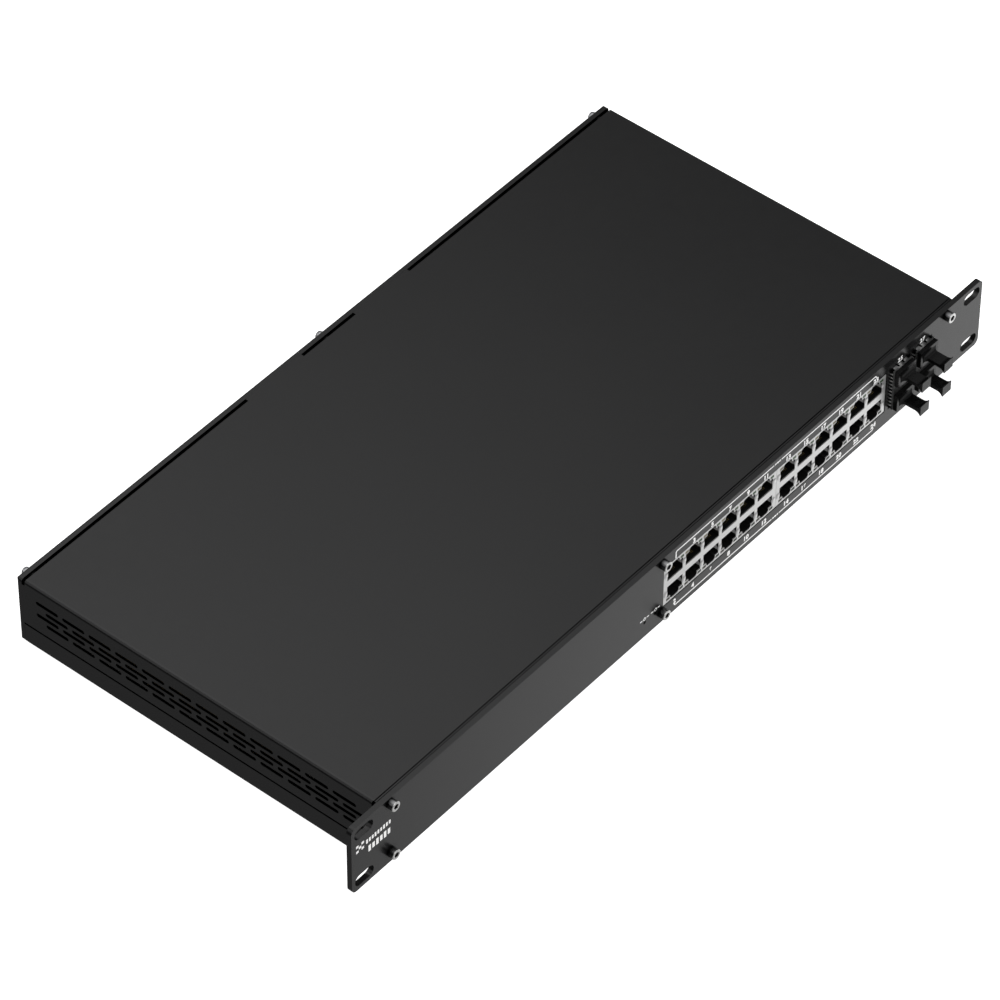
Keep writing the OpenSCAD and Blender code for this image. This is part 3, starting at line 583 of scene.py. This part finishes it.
def make(name, build, slot, material=None, body="case", smooth=None, replaced=None):
    """The object of a build, lifted from the case's own level and scaled to metres."""
    mesh = bpy.data.meshes.new(name)
    verts = [(x * MM, y * MM, (z + LEVEL) * MM) for x, y, z in build.verts]
    mesh.from_pydata(verts, [], build.faces)
    mesh.validate()
    edit = bmesh.new()
    edit.from_mesh(mesh)
    bmesh.ops.remove_doubles(edit, verts=edit.verts, dist=1e-6)
    bmesh.ops.recalc_face_normals(edit, faces=edit.faces)
    edit.to_mesh(mesh)
    edit.free()
    mesh.materials.append(material or FINISH[slot])
    obj = bpy.data.objects.new(name, mesh)
    bpy.context.scene.collection.objects.link(obj)
    if smooth is not None:
        shade_smooth(mesh, smooth)
    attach(obj, body)
    if replaced:
        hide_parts(replaced)
    return obj


# ---------------------------------------------------------------- front posts
# outline, radius and y, from the tail behind the plate to the bottom of the hex socket
POST_STATIONS = (
    (circle, 0, 4.9), (circle, 1.25, 4.9), (circle, 1.45, 4.7),
    (circle, 1.45, FACE + 0.02), (circle, 2.7, FACE), (circle, 2.8, FACE - 0.12),
    (circle, 2.8, POST_END + 0.36), (circle, 2.76, POST_END + 0.16),
    (circle, 2.66, POST_END + 0.04), (circle, 2.56, POST_END), (circle, 1.62, POST_END),
    (hexagon, 1.36, POST_END + 0.1), (hexagon, 1.3, POST_END + 0.25),
    (hexagon, 1.3, POST_END + 2.3), (circle, 0.6, POST_END + 2.6), (circle, 0, POST_END + 2.75),
)


def front_posts():
    """Turned posts, each with a hex socket in its front end."""
    build = Build()
    for x, z in POST_SPOTS:
        build.skin([placed(outline(radius, 72), x, y, z) for outline, radius, y in POST_STATIONS])
    mesh = make("front_posts_turned", build, "dark_screw_steel", smooth=35,
                replaced="front_screws").data
    mesh.materials.append(POST_FACE)
    mesh.materials.append(SOCKET)
    for polygon in mesh.polygons:
        centre = polygon.center / MM
        off_axis = min(math.hypot(centre.x - x, centre.z - z - LEVEL) for x, z in POST_SPOTS)
        # the end ring takes the bright finish; the socket's walls a near-black one, painted shade in
        # the hole
        if centre.y < POST_END + 0.3 and off_axis > 1.5:
            polygon.material_index = 1
        elif centre.y < POST_END + 3.0 and off_axis < 1.56:
            polygon.material_index = 2


# ---------------------------------------------------------------- cross-recess screws
def head_height(x, z, off_axis, turn, radius, height):
    """Height of a domed head with a tapered cross, turned by an angle, pressed into it."""
    across = abs(x * math.cos(turn) + z * math.sin(turn))
    along = abs(-x * math.sin(turn) + z * math.cos(turn))
    long, short = max(across, along), min(across, along)
    rim = max(0.0, (off_axis / radius - 0.72) / 0.28) ** 2.6
    dome = height * (1 - 0.16 * (off_axis / radius) ** 2 - 0.84 * rim)
    side = max(0.0, 1 - max(0.0, short - 0.16 * radius) / (0.05 * radius))
    end = max(0.0, min(1.0, (0.6 * radius - long) / (0.16 * radius)))
    core = max(0.0, 1 - max(0.0, off_axis - 0.2 * radius) / (0.12 * radius))
    depth = max(side * end, core) * height * (0.72 - 0.35 * long / radius)
    return max(0.02, dome - depth)


def cross_screws(name, spots, radius, height, shank_radius, length, slot, replaced):
    """Pan-head screws on the back, heads facing +y."""
    sides, steps = 96, 30
    # radius and depth below the seat, from under the head to the tip of the shank
    shank = ((radius, 0.02), (shank_radius, 0.02), (shank_radius, length - 0.3),
             (shank_radius - 0.3, length), (0, length))
    build = Build()
    for i, (x, z) in enumerate(spots):
        turn = 0.4 + i * 1.13
        rings = []
        for k in range(steps + 1):
            off_axis = radius * k / steps
            rings.append([
                (x + px, BACK + head_height(px, pz, off_axis, turn, radius, height), z + pz)
                for px, pz in circle(off_axis, sides)])
        rings += [placed(circle(size, sides), x, BACK - depth, z) for size, depth in shank]
        build.skin(rings)
    make(name, build, slot, smooth=40, replaced=replaced)


# ---------------------------------------------------------------- dust plugs
def moulded_plug(side):
    """The frame's dust plug with its edges rounded."""
    obj = bpy.data.objects.new("moulded_plug_" + side, NODES["dust_plug_" + side].data.copy())
    bpy.context.scene.collection.objects.link(obj)
    edit = bmesh.new()
    edit.from_mesh(obj.data)
    bmesh.ops.remove_doubles(edit, verts=edit.verts, dist=2e-6)
    bmesh.ops.dissolve_limit(edit, angle_limit=math.radians(1.0), verts=edit.verts,
                             edges=edit.edges)
    edit.to_mesh(obj.data)
    edit.free()
    bevel = obj.modifiers.new("edge", "BEVEL")
    bevel.width = 0.16 * MM
    bevel.segments = 2
    bevel.limit_method = "ANGLE"
    bevel.angle_limit = math.radians(38)
    bevel.use_clamp_overlap = True
    normals = obj.modifiers.new("shade", "WEIGHTED_NORMAL")
    normals.keep_sharp = False
    normals.weight = 100
    for polygon in obj.data.polygons:
        polygon.use_smooth = True
    depsgraph = bpy.context.evaluated_depsgraph_get()
    mesh = bpy.data.meshes.new_from_object(obj.evaluated_get(depsgraph))
    obj.modifiers.clear()
    obj.data = mesh
    use_only(mesh, FINISH["plug_rubber"])
    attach(obj, "plug_" + side)
    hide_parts("dust_plug_" + side)


# ---------------------------------------------------------------- sprung strips round the cages
CAGE_HALF_WIDTH, CAGE_HALF_HEIGHT = 7.2, 12.85
BAND_FRONT, BAND_BACK, BAND_THICK = -5.2, -4.35, 0.2
# the bow of a finger, as (y, share of its full height)
FINGER_BOW = (
    (BAND_BACK, 0.3), (-3.9, 0.36), (-3.3, 0.62), (-2.6, 0.92), (-1.9, 1.0),
    (-1.2, 0.8), (-0.6, 0.5), (-0.1, 0.32), (0.3, 0.3),
)
# cross-sections of a finger, as (across, height off the cage)
ARCH = [math.radians(-80 + 160 * k / 14) for k in range(15)]
LEVEL_FINGER = [(-1.5, 0.0), *((1.5 * math.sin(a), 0.56 * math.cos(a)) for a in ARCH), (1.5, 0.0)]
SIDE_FINGER = [(-0.5, 0.0), (-0.46, 0.4), (-0.36, 0.52), (-0.2, 0.58), (-0.02, 0.58),
               (0.08, 0.52), (0.38, 0.0)]


def formed_fingers(side, centre_x):
    """A flat band round the mouth of a cage, and bowed fingers running back from it."""
    build = Build()
    wide, tall = CAGE_HALF_WIDTH, CAGE_HALF_HEIGHT
    edge = wide + BAND_THICK
    build.box((centre_x - edge, BAND_FRONT, tall), (centre_x + edge, BAND_BACK, tall + BAND_THICK))
    build.box((centre_x - edge, BAND_FRONT, -tall - BAND_THICK),
              (centre_x + edge, BAND_BACK, -tall))
    for sign in (1, -1):
        x0, x1 = sorted((centre_x + sign * wide, centre_x + sign * edge))
        build.box((x0, BAND_FRONT, -tall), (x1, BAND_BACK, tall))

    def finger(place, section):
        build.loft([[place(across, max(0.01, height * share), y) for across, height in section]
                    for y, share in FINGER_BOW])

    for k in (-1, 0, 1):
        for sign in (1, -1):
            finger(lambda across, height, y: (
                centre_x + k * 4.05 + across, y, sign * (tall + height)), LEVEL_FINGER)
    for k in range(10):
        for sign in (1, -1):
            finger(lambda across, height, y: (
                centre_x + sign * (wide + height), y, (k - 4.5) * 2.35 + across), SIDE_FINGER)
    mesh = make("formed_fingers_" + side, build, "spring_steel", smooth=40,
                replaced="spring_fingers_" + side).data
    mesh.materials.append(SPRING_PAINTED_SHADE)
    # the band, and the fingers above and below except their left-hand flanks, take a darker copy of
    # the spring steel as painted shade
    for polygon in mesh.polygons:
        beyond = abs(polygon.center.z / MM - LEVEL) > tall - 0.05
        in_band = polygon.center.y / MM < BAND_BACK + 0.01
        if in_band or (beyond and polygon.normal.x > -0.3):
            polygon.material_index = 1


# ---------------------------------------------------------------- jack trim
TAB_REACH, TAB_THICK = 1.5, 0.12
# a tab's path across a bar, as (x from the bar, y from the jacks' front)
TAB_PATH = ((-1.42, 0.35), (-1.5, 0.15), (-1.28, -0.14), (-0.8, -0.3), (0.0, -0.34),
            (0.8, -0.3), (1.28, -0.14), (1.5, 0.15), (1.42, 0.35))
# a side leaf's path, as (y from the jacks' front, whether it is a narrowed end)
LEAF_PATH = ((0.85, True), (1.1, False), (3.6, False), (4.3, True))


def jack_spring_tabs():
    """Leaves formed forward across each bar and turned back into the openings beside it."""
    build = Build()
    half_pitch = JACK_PITCH / 2
    for bar in sorted({round(x + sign * half_pitch, 3) for x in JACK_X for sign in (1, -1)}):
        for row in (1, -1):
            z = JACK_Z + row * 6.5
            sections = []
            for i, (across, y) in enumerate(TAB_PATH):
                before, after = TAB_PATH[max(0, i - 1)], TAB_PATH[min(len(TAB_PATH) - 1, i + 1)]
                along = Vector((after[0] - before[0], after[1] - before[1])).normalized()
                far_x, far_y = across - along.y * TAB_THICK, y + along.x * TAB_THICK
                half = 1.2 - 0.25 * (abs(across) / TAB_REACH) ** 3
                sections.append([
                    (bar + across, JACK_Y + y, z - half), (bar + across, JACK_Y + y, z + half),
                    (bar + far_x, JACK_Y + far_y, z + half),
                    (bar + far_x, JACK_Y + far_y, z - half)])
            build.loft(sections)
    make("jack_spring_tabs", build, "nickel_shield", smooth=50)


def jack_side_leaves():
    """Leaves lying on the inner side walls of the jacks."""
    build = Build()
    half_height = 1.15
    for jack in JACK_X:
        for row in (1, -1):
            z0, z1 = JACK_Z + row * 6.4 - half_height, JACK_Z + row * 6.4 + half_height
            for sign in (1, -1):
                sections = []
                for y, is_end in LEAF_PATH:
                    taper, shift = (0.2, sign * 0.02) if is_end else (0.0, 0.0)
                    near, far = jack + sign * 5.74 + shift, jack + sign * 5.88 + shift
                    low, high = z0 + taper, z1 - taper
                    sections.append([(x, JACK_Y + y, z) for x, z in (
                        (near, low), (near, high), (far, high), (far, low))])
                build.loft(sections)
    make("jack_side_leaves", build, "nickel_shield", material=LEAF)


# ---------------------------------------------------------------- printing on the plate
class Print(Build):
    """Raised print on the plate's front, drawn in x and z."""

    front, back = FACE - 0.03, FACE + 0.01

    def outline(self, points):
        n = len(points)
        self.add([(x, self.front, z) for x, z in points] + [(x, self.back, z) for x, z in points],
                 [tuple(range(n)), tuple(range(2 * n - 1, n - 1, -1))]
                 + [(i, i + n, (i + 1) % n + n, (i + 1) % n) for i in range(n)])

    def block(self, x, z, half_width, half_height):
        self.outline([(x - half_width, z - half_height), (x + half_width, z - half_height),
                      (x + half_width, z + half_height), (x - half_width, z + half_height)])

    def stroke(self, points, width=0.72):
        """A drawn line, mitred at its corners."""
        left, right = [], []
        for i, (x, z) in enumerate(points):
            ways = []
            if i > 0:
                ways.append(Vector((x - points[i - 1][0], z - points[i - 1][1])).normalized())
            if i < len(points) - 1:
                ways.append(Vector((points[i + 1][0] - x, points[i + 1][1] - z)).normalized())
            way = sum(ways, Vector((0, 0))).normalized()
            mitre = 1 / max(0.35, way.dot(ways[0]))
            off_x, off_z = -way.y * width / 2 * mitre, way.x * width / 2 * mitre
            left.append((x + off_x, z + off_z))
            right.append((x - off_x, z - off_z))
        for i in range(len(points) - 1):
            self.outline([right[i], right[i + 1], left[i + 1], left[i]])

    def open_ring(self, x, z, start, sweep, width):
        """A ring with a gap, its angles in degrees clockwise from the top; gives its start."""
        radius = 0.82
        angles = [math.radians(start + sweep * k / 20) for k in range(21)]
        points = [(x + radius * math.sin(a), z + radius * math.cos(a)) for a in angles]
        self.stroke(points, width)
        return points[0]

    def dashes(self, x, z):
        """A dash on each side of a symbol."""
        for sign in (-1, 1):
            self.stroke([(x + sign * 1.7, z), (x + sign * 3.4, z)], width=0.6)

    def number(self, text, x, z, height=2.9, weight=0.045):
        """A number in the built-in font, centred on x, z."""
        curve = bpy.data.curves.new("number", "FONT")
        curve.body = text
        curve.size = 1.0
        curve.space_character = 1.06
        curve.offset = weight
        curve.resolution_u = 6
        obj = bpy.data.objects.new("number", curve)
        bpy.context.scene.collection.objects.link(obj)
        bpy.context.view_layer.update()
        depsgraph = bpy.context.evaluated_depsgraph_get()
        mesh = bpy.data.meshes.new_from_object(obj.evaluated_get(depsgraph))
        bpy.data.objects.remove(obj)
        bpy.data.curves.remove(curve)
        digit_height = 0.729        # of the font at size 1
        scale = height / digit_height
        across = [vert.co.x for vert in mesh.vertices]
        middle_x, middle_y = (min(across) + max(across)) / 2, digit_height / 2
        edit = bmesh.new()
        edit.from_mesh(mesh)
        bmesh.ops.remove_doubles(edit, verts=edit.verts, dist=1e-5)
        n = len(edit.verts)
        edit.verts.index_update()
        flat = [(x + (vert.co.x - middle_x) * scale, z + (vert.co.y - middle_y) * scale)
                for vert in edit.verts]
        faces = [tuple(vert.index for vert in face.verts) for face in edit.faces]
        faces += [tuple(vert.index + n for vert in reversed(face.verts)) for face in edit.faces]
        for edge in edit.edges:
            if len(edge.link_faces) == 1:
                one, two = edge.verts[0].index, edge.verts[1].index
                faces.append((one, two, two + n, one + n))
        self.add([(px, self.front, pz) for px, pz in flat]
                 + [(px, self.back, pz) for px, pz in flat], faces)
        edit.free()
        bpy.data.meshes.remove(mesh)


def port_numbers():
    ink = Print()
    below = -15.65
    for i, x in enumerate(JACK_X):
        ink.number(str(2 * i + 1), x, 15.35)
        ink.number(str(2 * i + 2), x, below)
    modules = (173.6, 191.8)
    for x, text in zip(modules, ("25", "27")):
        ink.number(text, x, 15.6, height=2.8, weight=0.03)
    for x, text in zip(modules, ("26", "28")):
        ink.number(text, x, below)
    make("port_numbers", ink, "black_powder_coat", material=PRINT)


def port_brackets():
    """Long brackets over and under the two runs of jacks, with three linked squares between."""
    ink = Print()
    middle, inner_end = 75.2, 3.0
    left, right = JACK_X[0], JACK_X[-1]
    chamfer, drop = 0.55, 1.35
    for sign, line in ((1, 18.35), (-1, -18.7)):
        foot, bend = line - sign * drop, line - sign * chamfer
        ink.stroke([(left, foot), (left, bend), (left + chamfer, line),
                    (middle - inner_end, line)])
        ink.stroke([(middle + inner_end, line), (right - chamfer, line), (right, bend),
                    (right, foot)])
        for k in (-1, 0, 1):
            ink.block(middle + k * 1.75, line, 0.5, 0.5)
        ink.stroke([(middle - 1.3, line), (middle + 1.3, line)], width=0.25)
    make("port_brackets", ink, "black_powder_coat", material=PRINT)


def panel_symbols():
    ink = Print()
    # a ring open at the top with a stem in the gap
    x, z = -26.9, -9.9
    ink.open_ring(x, z, start=38, sweep=284, width=0.4)
    ink.stroke([(x, z + 0.15), (x, z + 1.2)], width=0.4)
    ink.dashes(x, z)
    # an open ring with an arrow head
    x = -18.6
    tip_x, tip_z = ink.open_ring(x, z, start=30, sweep=290, width=0.3)
    ink.outline([(tip_x - 0.55, tip_z + 0.42), (tip_x + 0.42, tip_z + 0.1),
                 (tip_x - 0.2, tip_z - 0.5)])
    ink.dashes(x, z)
    # on the left ear: a chequer of blocks and two rows of graded bars
    for i in range(3):
        for j in range(3):
            if (i + j) % 2 == 0:
                ink.block(-237.2 + i * 1.9, 3.9 + j * 1.75, 0.85, 0.75)
    for k in range(9):
        ink.block(-230.4 + k * 2.0, 5.55, 0.6, 1.35 - 0.1 * (k % 3))
    for k in range(6):
        ink.block(-228.6 + k * 2.72, -0.3, 0.85, 2.1 - 0.35 * (k % 2))
    make("panel_symbols", ink, "black_powder_coat", material=PRINT)


# ---------------------------------------------------------------- fan rotors
# the hub's cup and shaft, as (radius, y from the fan's front)
HUB_PROFILE = (
    (0, 17.0), (7.6, 17.0), (8.7, 16.8), (9.3, 16.2), (9.6, 15.3), (9.6, 3.0), (9.3, 2.7),
    (8.7, 2.7), (8.6, 3.0), (8.6, 15.4), (1.3, 15.4), (1.0, 15.2), (1.0, 1.4), (0.8, 1.2),
    (0, 1.2),
)
BLADES = 7
BLADE_ROOT, BLADE_TIP = 9.4, 18.05      # radii
BLADE_MIDDLE = FAN_Y + 10.2
SPAN_STEPS, CHORD_STEPS = 7, 12


def blade(build, centre_x, start_angle):
    """A cambered blade, twisted and swept forward towards its tip."""
    sides = {1: [], -1: []}
    for i in range(SPAN_STEPS + 1):
        radius = BLADE_ROOT + (BLADE_TIP - BLADE_ROOT) * i / SPAN_STEPS
        span = i / SPAN_STEPS
        pitch = math.radians(52 - 20 * span)
        chord = 9.2 + 3.4 * span - (1.2 * max(0, span - 0.8) / 0.2)
        lead = 0.32 * span * span
        for j in range(CHORD_STEPS + 1):
            share = j / CHORD_STEPS
            along = (share - 0.5) * chord
            bulge = 1 - (2 * share - 1) ** 2
            half_thick = 0.12 + 0.42 * math.sqrt(max(0.0, bulge)) * (1 - 0.35 * span)
            for side, points in sides.items():
                height = 0.9 * bulge + side * half_thick
                around = along * math.cos(pitch) - height * math.sin(pitch)
                axial = along * math.sin(pitch) + height * math.cos(pitch)
                angle = start_angle + lead + around / radius
                points.append((centre_x + radius * math.cos(angle), BLADE_MIDDLE + axial,
                               FAN_Z + radius * math.sin(angle)))
    row = CHORD_STEPS + 1
    other = len(sides[1])       # where the second side's points start
    faces = []
    for i in range(SPAN_STEPS):
        for p in range(i * row, i * row + CHORD_STEPS):
            faces.append((p, p + 1, p + row + 1, p + row))
            faces.append((other + p, other + p + row, other + p + row + 1, other + p + 1))
        p = i * row
        faces.append((p, p + row, other + p + row, other + p))
        p += CHORD_STEPS
        faces.append((p + row, p, other + p, other + p + row))
    for j in range(CHORD_STEPS):
        faces.append((j, other + j, other + j + 1, j + 1))
        p = SPAN_STEPS * row + j
        faces.append((p, p + 1, other + p + 1, other + p))
    build.add(sides[1] + sides[-1], faces)


def rotor(side, centre_x):
    build = Build()
    build.skin([placed(circle(radius, 72), centre_x, FAN_Y + y, FAN_Z)
                for radius, y in HUB_PROFILE])
    for k in range(BLADES):
        blade(build, centre_x, 2 * math.pi * k / BLADES)
    make("curved_rotor_" + side, build, "rotor_plastic", body="rotor_" + side, smooth=50,
         replaced="fan_rotor_" + side)


# ---------------------------------------------------------------- wires
def smooth_path(points):
    """A Catmull-Rom curve through the points, ten steps to each span."""
    knots = [Vector(point) for point in points]
    knots = [knots[0] * 2 - knots[1]] + knots + [knots[-1] * 2 - knots[-2]]
    path = []
    for i in range(1, len(knots) - 2):
        p0, p1, p2, p3 = knots[i - 1:i + 3]
        for k in range(10):
            t = k / 10
            path.append(0.5 * ((2 * p1) + (p2 - p0) * t + (2 * p0 - 5 * p1 + 4 * p2 - p3) * t * t
                               + (3 * p1 - p0 - 3 * p2 + p3) * t ** 3))
    path.append(knots[-2])
    return path


def wires(name, runs, radius, slot):
    """Round wires along the runs, replacing the frame's own."""
    build = Build()
    for points in runs:
        path = smooth_path(points)
        sections = []
        up = Vector((0, 0, 1))
        for i, centre in enumerate(path):
            ahead = (path[min(i + 1, len(path) - 1)] - path[max(i - 1, 0)]).normalized()
            side = ahead.cross(up)
            if side.length < 1e-3:
                side = ahead.cross(Vector((1, 0, 0)))
            side.normalize()
            up = side.cross(ahead).normalized()
            sections.append([tuple(centre + side * across + up * rise)
                             for across, rise in circle(radius, 14)])
        build.loft(sections)
    make(name + "_round", build, slot, smooth=60, replaced=name)


MAINS_RUNS = (
    ((-177, 199.4, -2), (-177, 194, -2), (-176, 189, -8), (-176, 186, -12.5)),
    ((-163, 199.4, -2), (-163, 194, -2), (-158, 189, -8), (-158, 186, -12.5)),
    ((-170, 199.4, 2), (-165, 196, 4), (-135, 208, 2), (-124, 213, -4), (-122, 215.1, -6)),
)
# the first of six wires side by side in y
DC_RUN = ((-74.7, 151, -9), (-66, 150, -6), (-55, 147, -4), (-42, 144, -5), (-29.3, 143, -9))
DC_PITCH = 3.6


def fan_lead_runs():
    """Two leads from each fan forward to a row of ends."""
    runs = []
    for fan_x, first_end in zip(FAN_X, (-25.5, 34.5)):
        for k in (0, 1):
            start, end = fan_x + 10 + k * 3, first_end + k * 3
            runs.append([(start, 203.0, -17), (start, 197.8, -17),
                         (end, 193, -8), (end, 184, -7), (end, 177.9, -11)])
    return runs


# ---------------------------------------------------------------- floor, light, camera; metres
def rectangle(name, half_width, half_height, z=0.0):
    mesh = bpy.data.meshes.new(name)
    mesh.from_pydata([(-half_width, -half_height, z), (half_width, -half_height, z),
                      (half_width, half_height, z), (-half_width, half_height, z)],
                     [], [(0, 1, 2, 3)])
    obj = bpy.data.objects.new(name, mesh)
    bpy.context.scene.collection.objects.link(obj)
    return obj


def pose(right, up, back, place):
    """The matrix of an object with these axes at this place."""
    return Matrix([*zip(right, up, back, place), (0, 0, 0, 1)])


def floor():
    """A pale floor, just under the case, that shows to the camera but lights nothing."""
    obj = rectangle("floor", 14, 14, z=CAD_LO.z - 0.00005)
    mat = Material("pale_floor")
    tone = mat.mix(mat.noise(scale=3, detail=2), grey(0.9), grey(0.93))
    mat.set(base=tone, rough=0.9, specular=0.0, glow=grey(1), glow_strength=1.0)
    obj.data.materials.append(mat.data)
    obj.visible_glossy = False
    obj.visible_shadow = False
    obj.visible_diffuse = False
    obj.visible_transmission = False


LOW_FRONT_RIGHT = (0.542, -0.4545, -0.707)


def world():
    """Soft light from above, below and low at the front right; white to the camera."""
    studio = bpy.data.worlds.new("studio")
    bpy.context.scene.world = studio
    graph = Graph(studio)
    output = graph.node("OutputWorld")
    generated = graph.node("TexCoord").outputs["Generated"]
    way = graph.node("VectorMath", {0: generated}, operation="NORMALIZE").outputs[0]

    def lobe(cosine, power, strength):
        facing = graph.math("MAXIMUM", cosine, 0.0)
        return graph.math("MULTIPLY", graph.math("POWER", facing, power), strength)

    height = graph.part(way, 2)
    below = lobe(graph.math("MULTIPLY", height, -1.0), power=2.6, strength=0.37)
    above = lobe(height, power=3.0, strength=0.62)
    low_front = lobe(graph.dot(way, Vector(LOW_FRONT_RIGHT).normalized()), power=4.0, strength=0.2)
    ambient = 0.012
    total = graph.math("ADD", ambient, below)
    total = graph.math("ADD", total, above)
    total = graph.math("ADD", total, low_front)
    colour = graph.node("CombineColor", {0: total, 1: total, 2: total}).outputs[0]
    lighting = graph.node("Background", {"Color": colour}).outputs[0]
    white = graph.node("Background", {"Color": grey(1)}).outputs[0]
    to_camera = graph.node("LightPath").outputs["Is Camera Ray"]
    mixed = graph.node("MixShader", {0: to_camera, 1: lighting, 2: white}).outputs[0]
    graph.put(output.inputs[0], mixed)


def card(name, centre, facing, width, height, low, high, span):
    """A soft reflector that only lights, its brightness running from low to high over the span."""
    obj = rectangle(name, width / 2, height / 2)
    front = Vector(facing).normalized()
    side = Vector((0, 0, 1)).cross(front).normalized()
    obj.matrix_world = pose(side, front.cross(side), front, centre)
    material = bpy.data.materials.new(name)
    graph = Graph(material)
    output = graph.node("OutputMaterial")
    across = graph.part(graph.node("TexCoord").outputs["Object"], 0)
    strength = graph.fit(across, within=(-span / 2, span / 2), to=(low, high),
                         interpolation_type="SMOOTHSTEP")
    graph.put(output.inputs[0], graph.node("Emission", {"Strength": strength}).outputs[0])
    obj.data.materials.append(material)
    obj.visible_camera = False
    obj.visible_shadow = False


def soft_front():
    """An area light in front of the case, above and to the left, aimed at the origin."""
    light = bpy.data.lights.new("soft_front", "AREA")
    light.shape = "RECTANGLE"
    light.size, light.size_y = 1.2, 0.9
    light.energy = 6
    obj = bpy.data.objects.new("soft_front", light)
    bpy.context.scene.collection.objects.link(obj)
    place = Vector((-0.5, -1.3, 1.1))
    obj.location = place
    obj.rotation_mode = "QUATERNION"
    obj.rotation_quaternion = (-place).to_track_quat("-Z", "Y")
    obj.visible_camera = False


# low fills for the other sides, as name, centre, width, height and brightness
FILLS = (
    ("fill_front_right", (1.2, -1.2, 0.45), 1.8, 1.0, 0.7),
    ("fill_rear_left", (-1.15, 1.3, 0.8), 1.8, 1.2, 0.7),
    ("fill_rear_below", (1.15, 1.3, -0.48), 1.8, 1.2, 1.0),
    ("fill_front_below", (-1.15, -1.15, -0.6), 1.8, 1.1, 0.5),
    ("fill_right", (1.8, 0.1, -0.05), 1.2, 0.8, 1.0),
    ("fill_front", (0, -1.9, -0.1), 1.4, 0.7, 0.4),
)


def lights():
    card("top_gradient", centre=(0.72, 0.5, 1.0), facing=(0, 0.0001, -1),
         width=2.7, height=1.4, low=0.1, high=1.2, span=1.4)
    soft_front()
    card("front_gradient", centre=(0.379, -0.321, -0.495), facing=[-c for c in LOW_FRONT_RIGHT],
         width=1.4, height=1.4, low=1.17, high=0.33, span=0.7)
    for name, (x, y, z), width, height, power in FILLS:
        card(name, centre=(x, y, z), facing=(-x, 0.11 - y, -z),
             width=width, height=height, low=power, high=power, span=1.0)


def camera():
    """A long lens looking down from the front left."""
    azimuth, elevation, roll = (math.radians(angle) for angle in (-50.37, 45.28, 0.36))
    target = Vector((0, 0.130, LEVEL * MM))
    distance, shift_right, shift_down = 2.95235, 0.01539, 0.02339
    back = Vector((math.sin(azimuth) * math.cos(elevation),
                   -math.cos(azimuth) * math.cos(elevation), math.sin(elevation)))
    right = Vector((math.cos(azimuth), math.sin(azimuth), 0))
    up = back.cross(right)
    place = target + back * distance + right * shift_right - up * shift_down
    data = bpy.data.cameras.new("camera")
    data.sensor_width = 36
    data.lens = 216.59436
    data.shift_x = 0.0004
    data.shift_y = -0.00395
    data.clip_start, data.clip_end = 0.1, 100
    obj = bpy.data.objects.new("camera", data)
    bpy.context.scene.collection.objects.link(obj)
    obj.matrix_world = pose(right * math.cos(roll) + up * math.sin(roll),
                            up * math.cos(roll) - right * math.sin(roll), back, place)
    bpy.context.scene.camera = obj


# ---------------------------------------------------------------- the whole
dress_frame()
front_posts()
cross_screws("rear_pan_screws", REAR_SPOTS, radius=2.7, height=2.35, shank_radius=1.45,
             length=7.4, slot="zinc_steel", replaced="rear_screws")
fan_spots = [(x + across, FAN_Z + up) for x in FAN_X
             for across in (-FAN_SCREW_OFFSET, FAN_SCREW_OFFSET)
             for up in (-FAN_SCREW_OFFSET, FAN_SCREW_OFFSET)]
cross_screws("fan_pan_screws", fan_spots, radius=2.7, height=1.75, shank_radius=1.5,
             length=8.0, slot="black_screw", replaced="fan_screws")
jack_spring_tabs()
jack_side_leaves()
port_numbers()
port_brackets()
panel_symbols()
for corner in ("upper_left", "lower_left", "upper_right", "lower_right"):
    moulded_plug(corner)
formed_fingers("left", centre_x=173.7)
formed_fingers("right", centre_x=191.9)
rotor("left", FAN_X[0])
rotor("right", FAN_X[1])
wires("mains_wires", MAINS_RUNS, radius=1.1, slot="wire_brown")
dc_runs = [[(x, y + k * DC_PITCH, z) for x, y, z in DC_RUN] for k in range(6)]
wires("dc_wires", dc_runs, radius=1.05, slot="wire_red")
wires("fan_leads", fan_lead_runs(), radius=0.7, slot="wire_red")

floor()
world()
lights()
camera()
view = bpy.context.scene.view_settings
view.view_transform = "Standard"
view.look = "None"
view.exposure = 0
view.gamma = 1
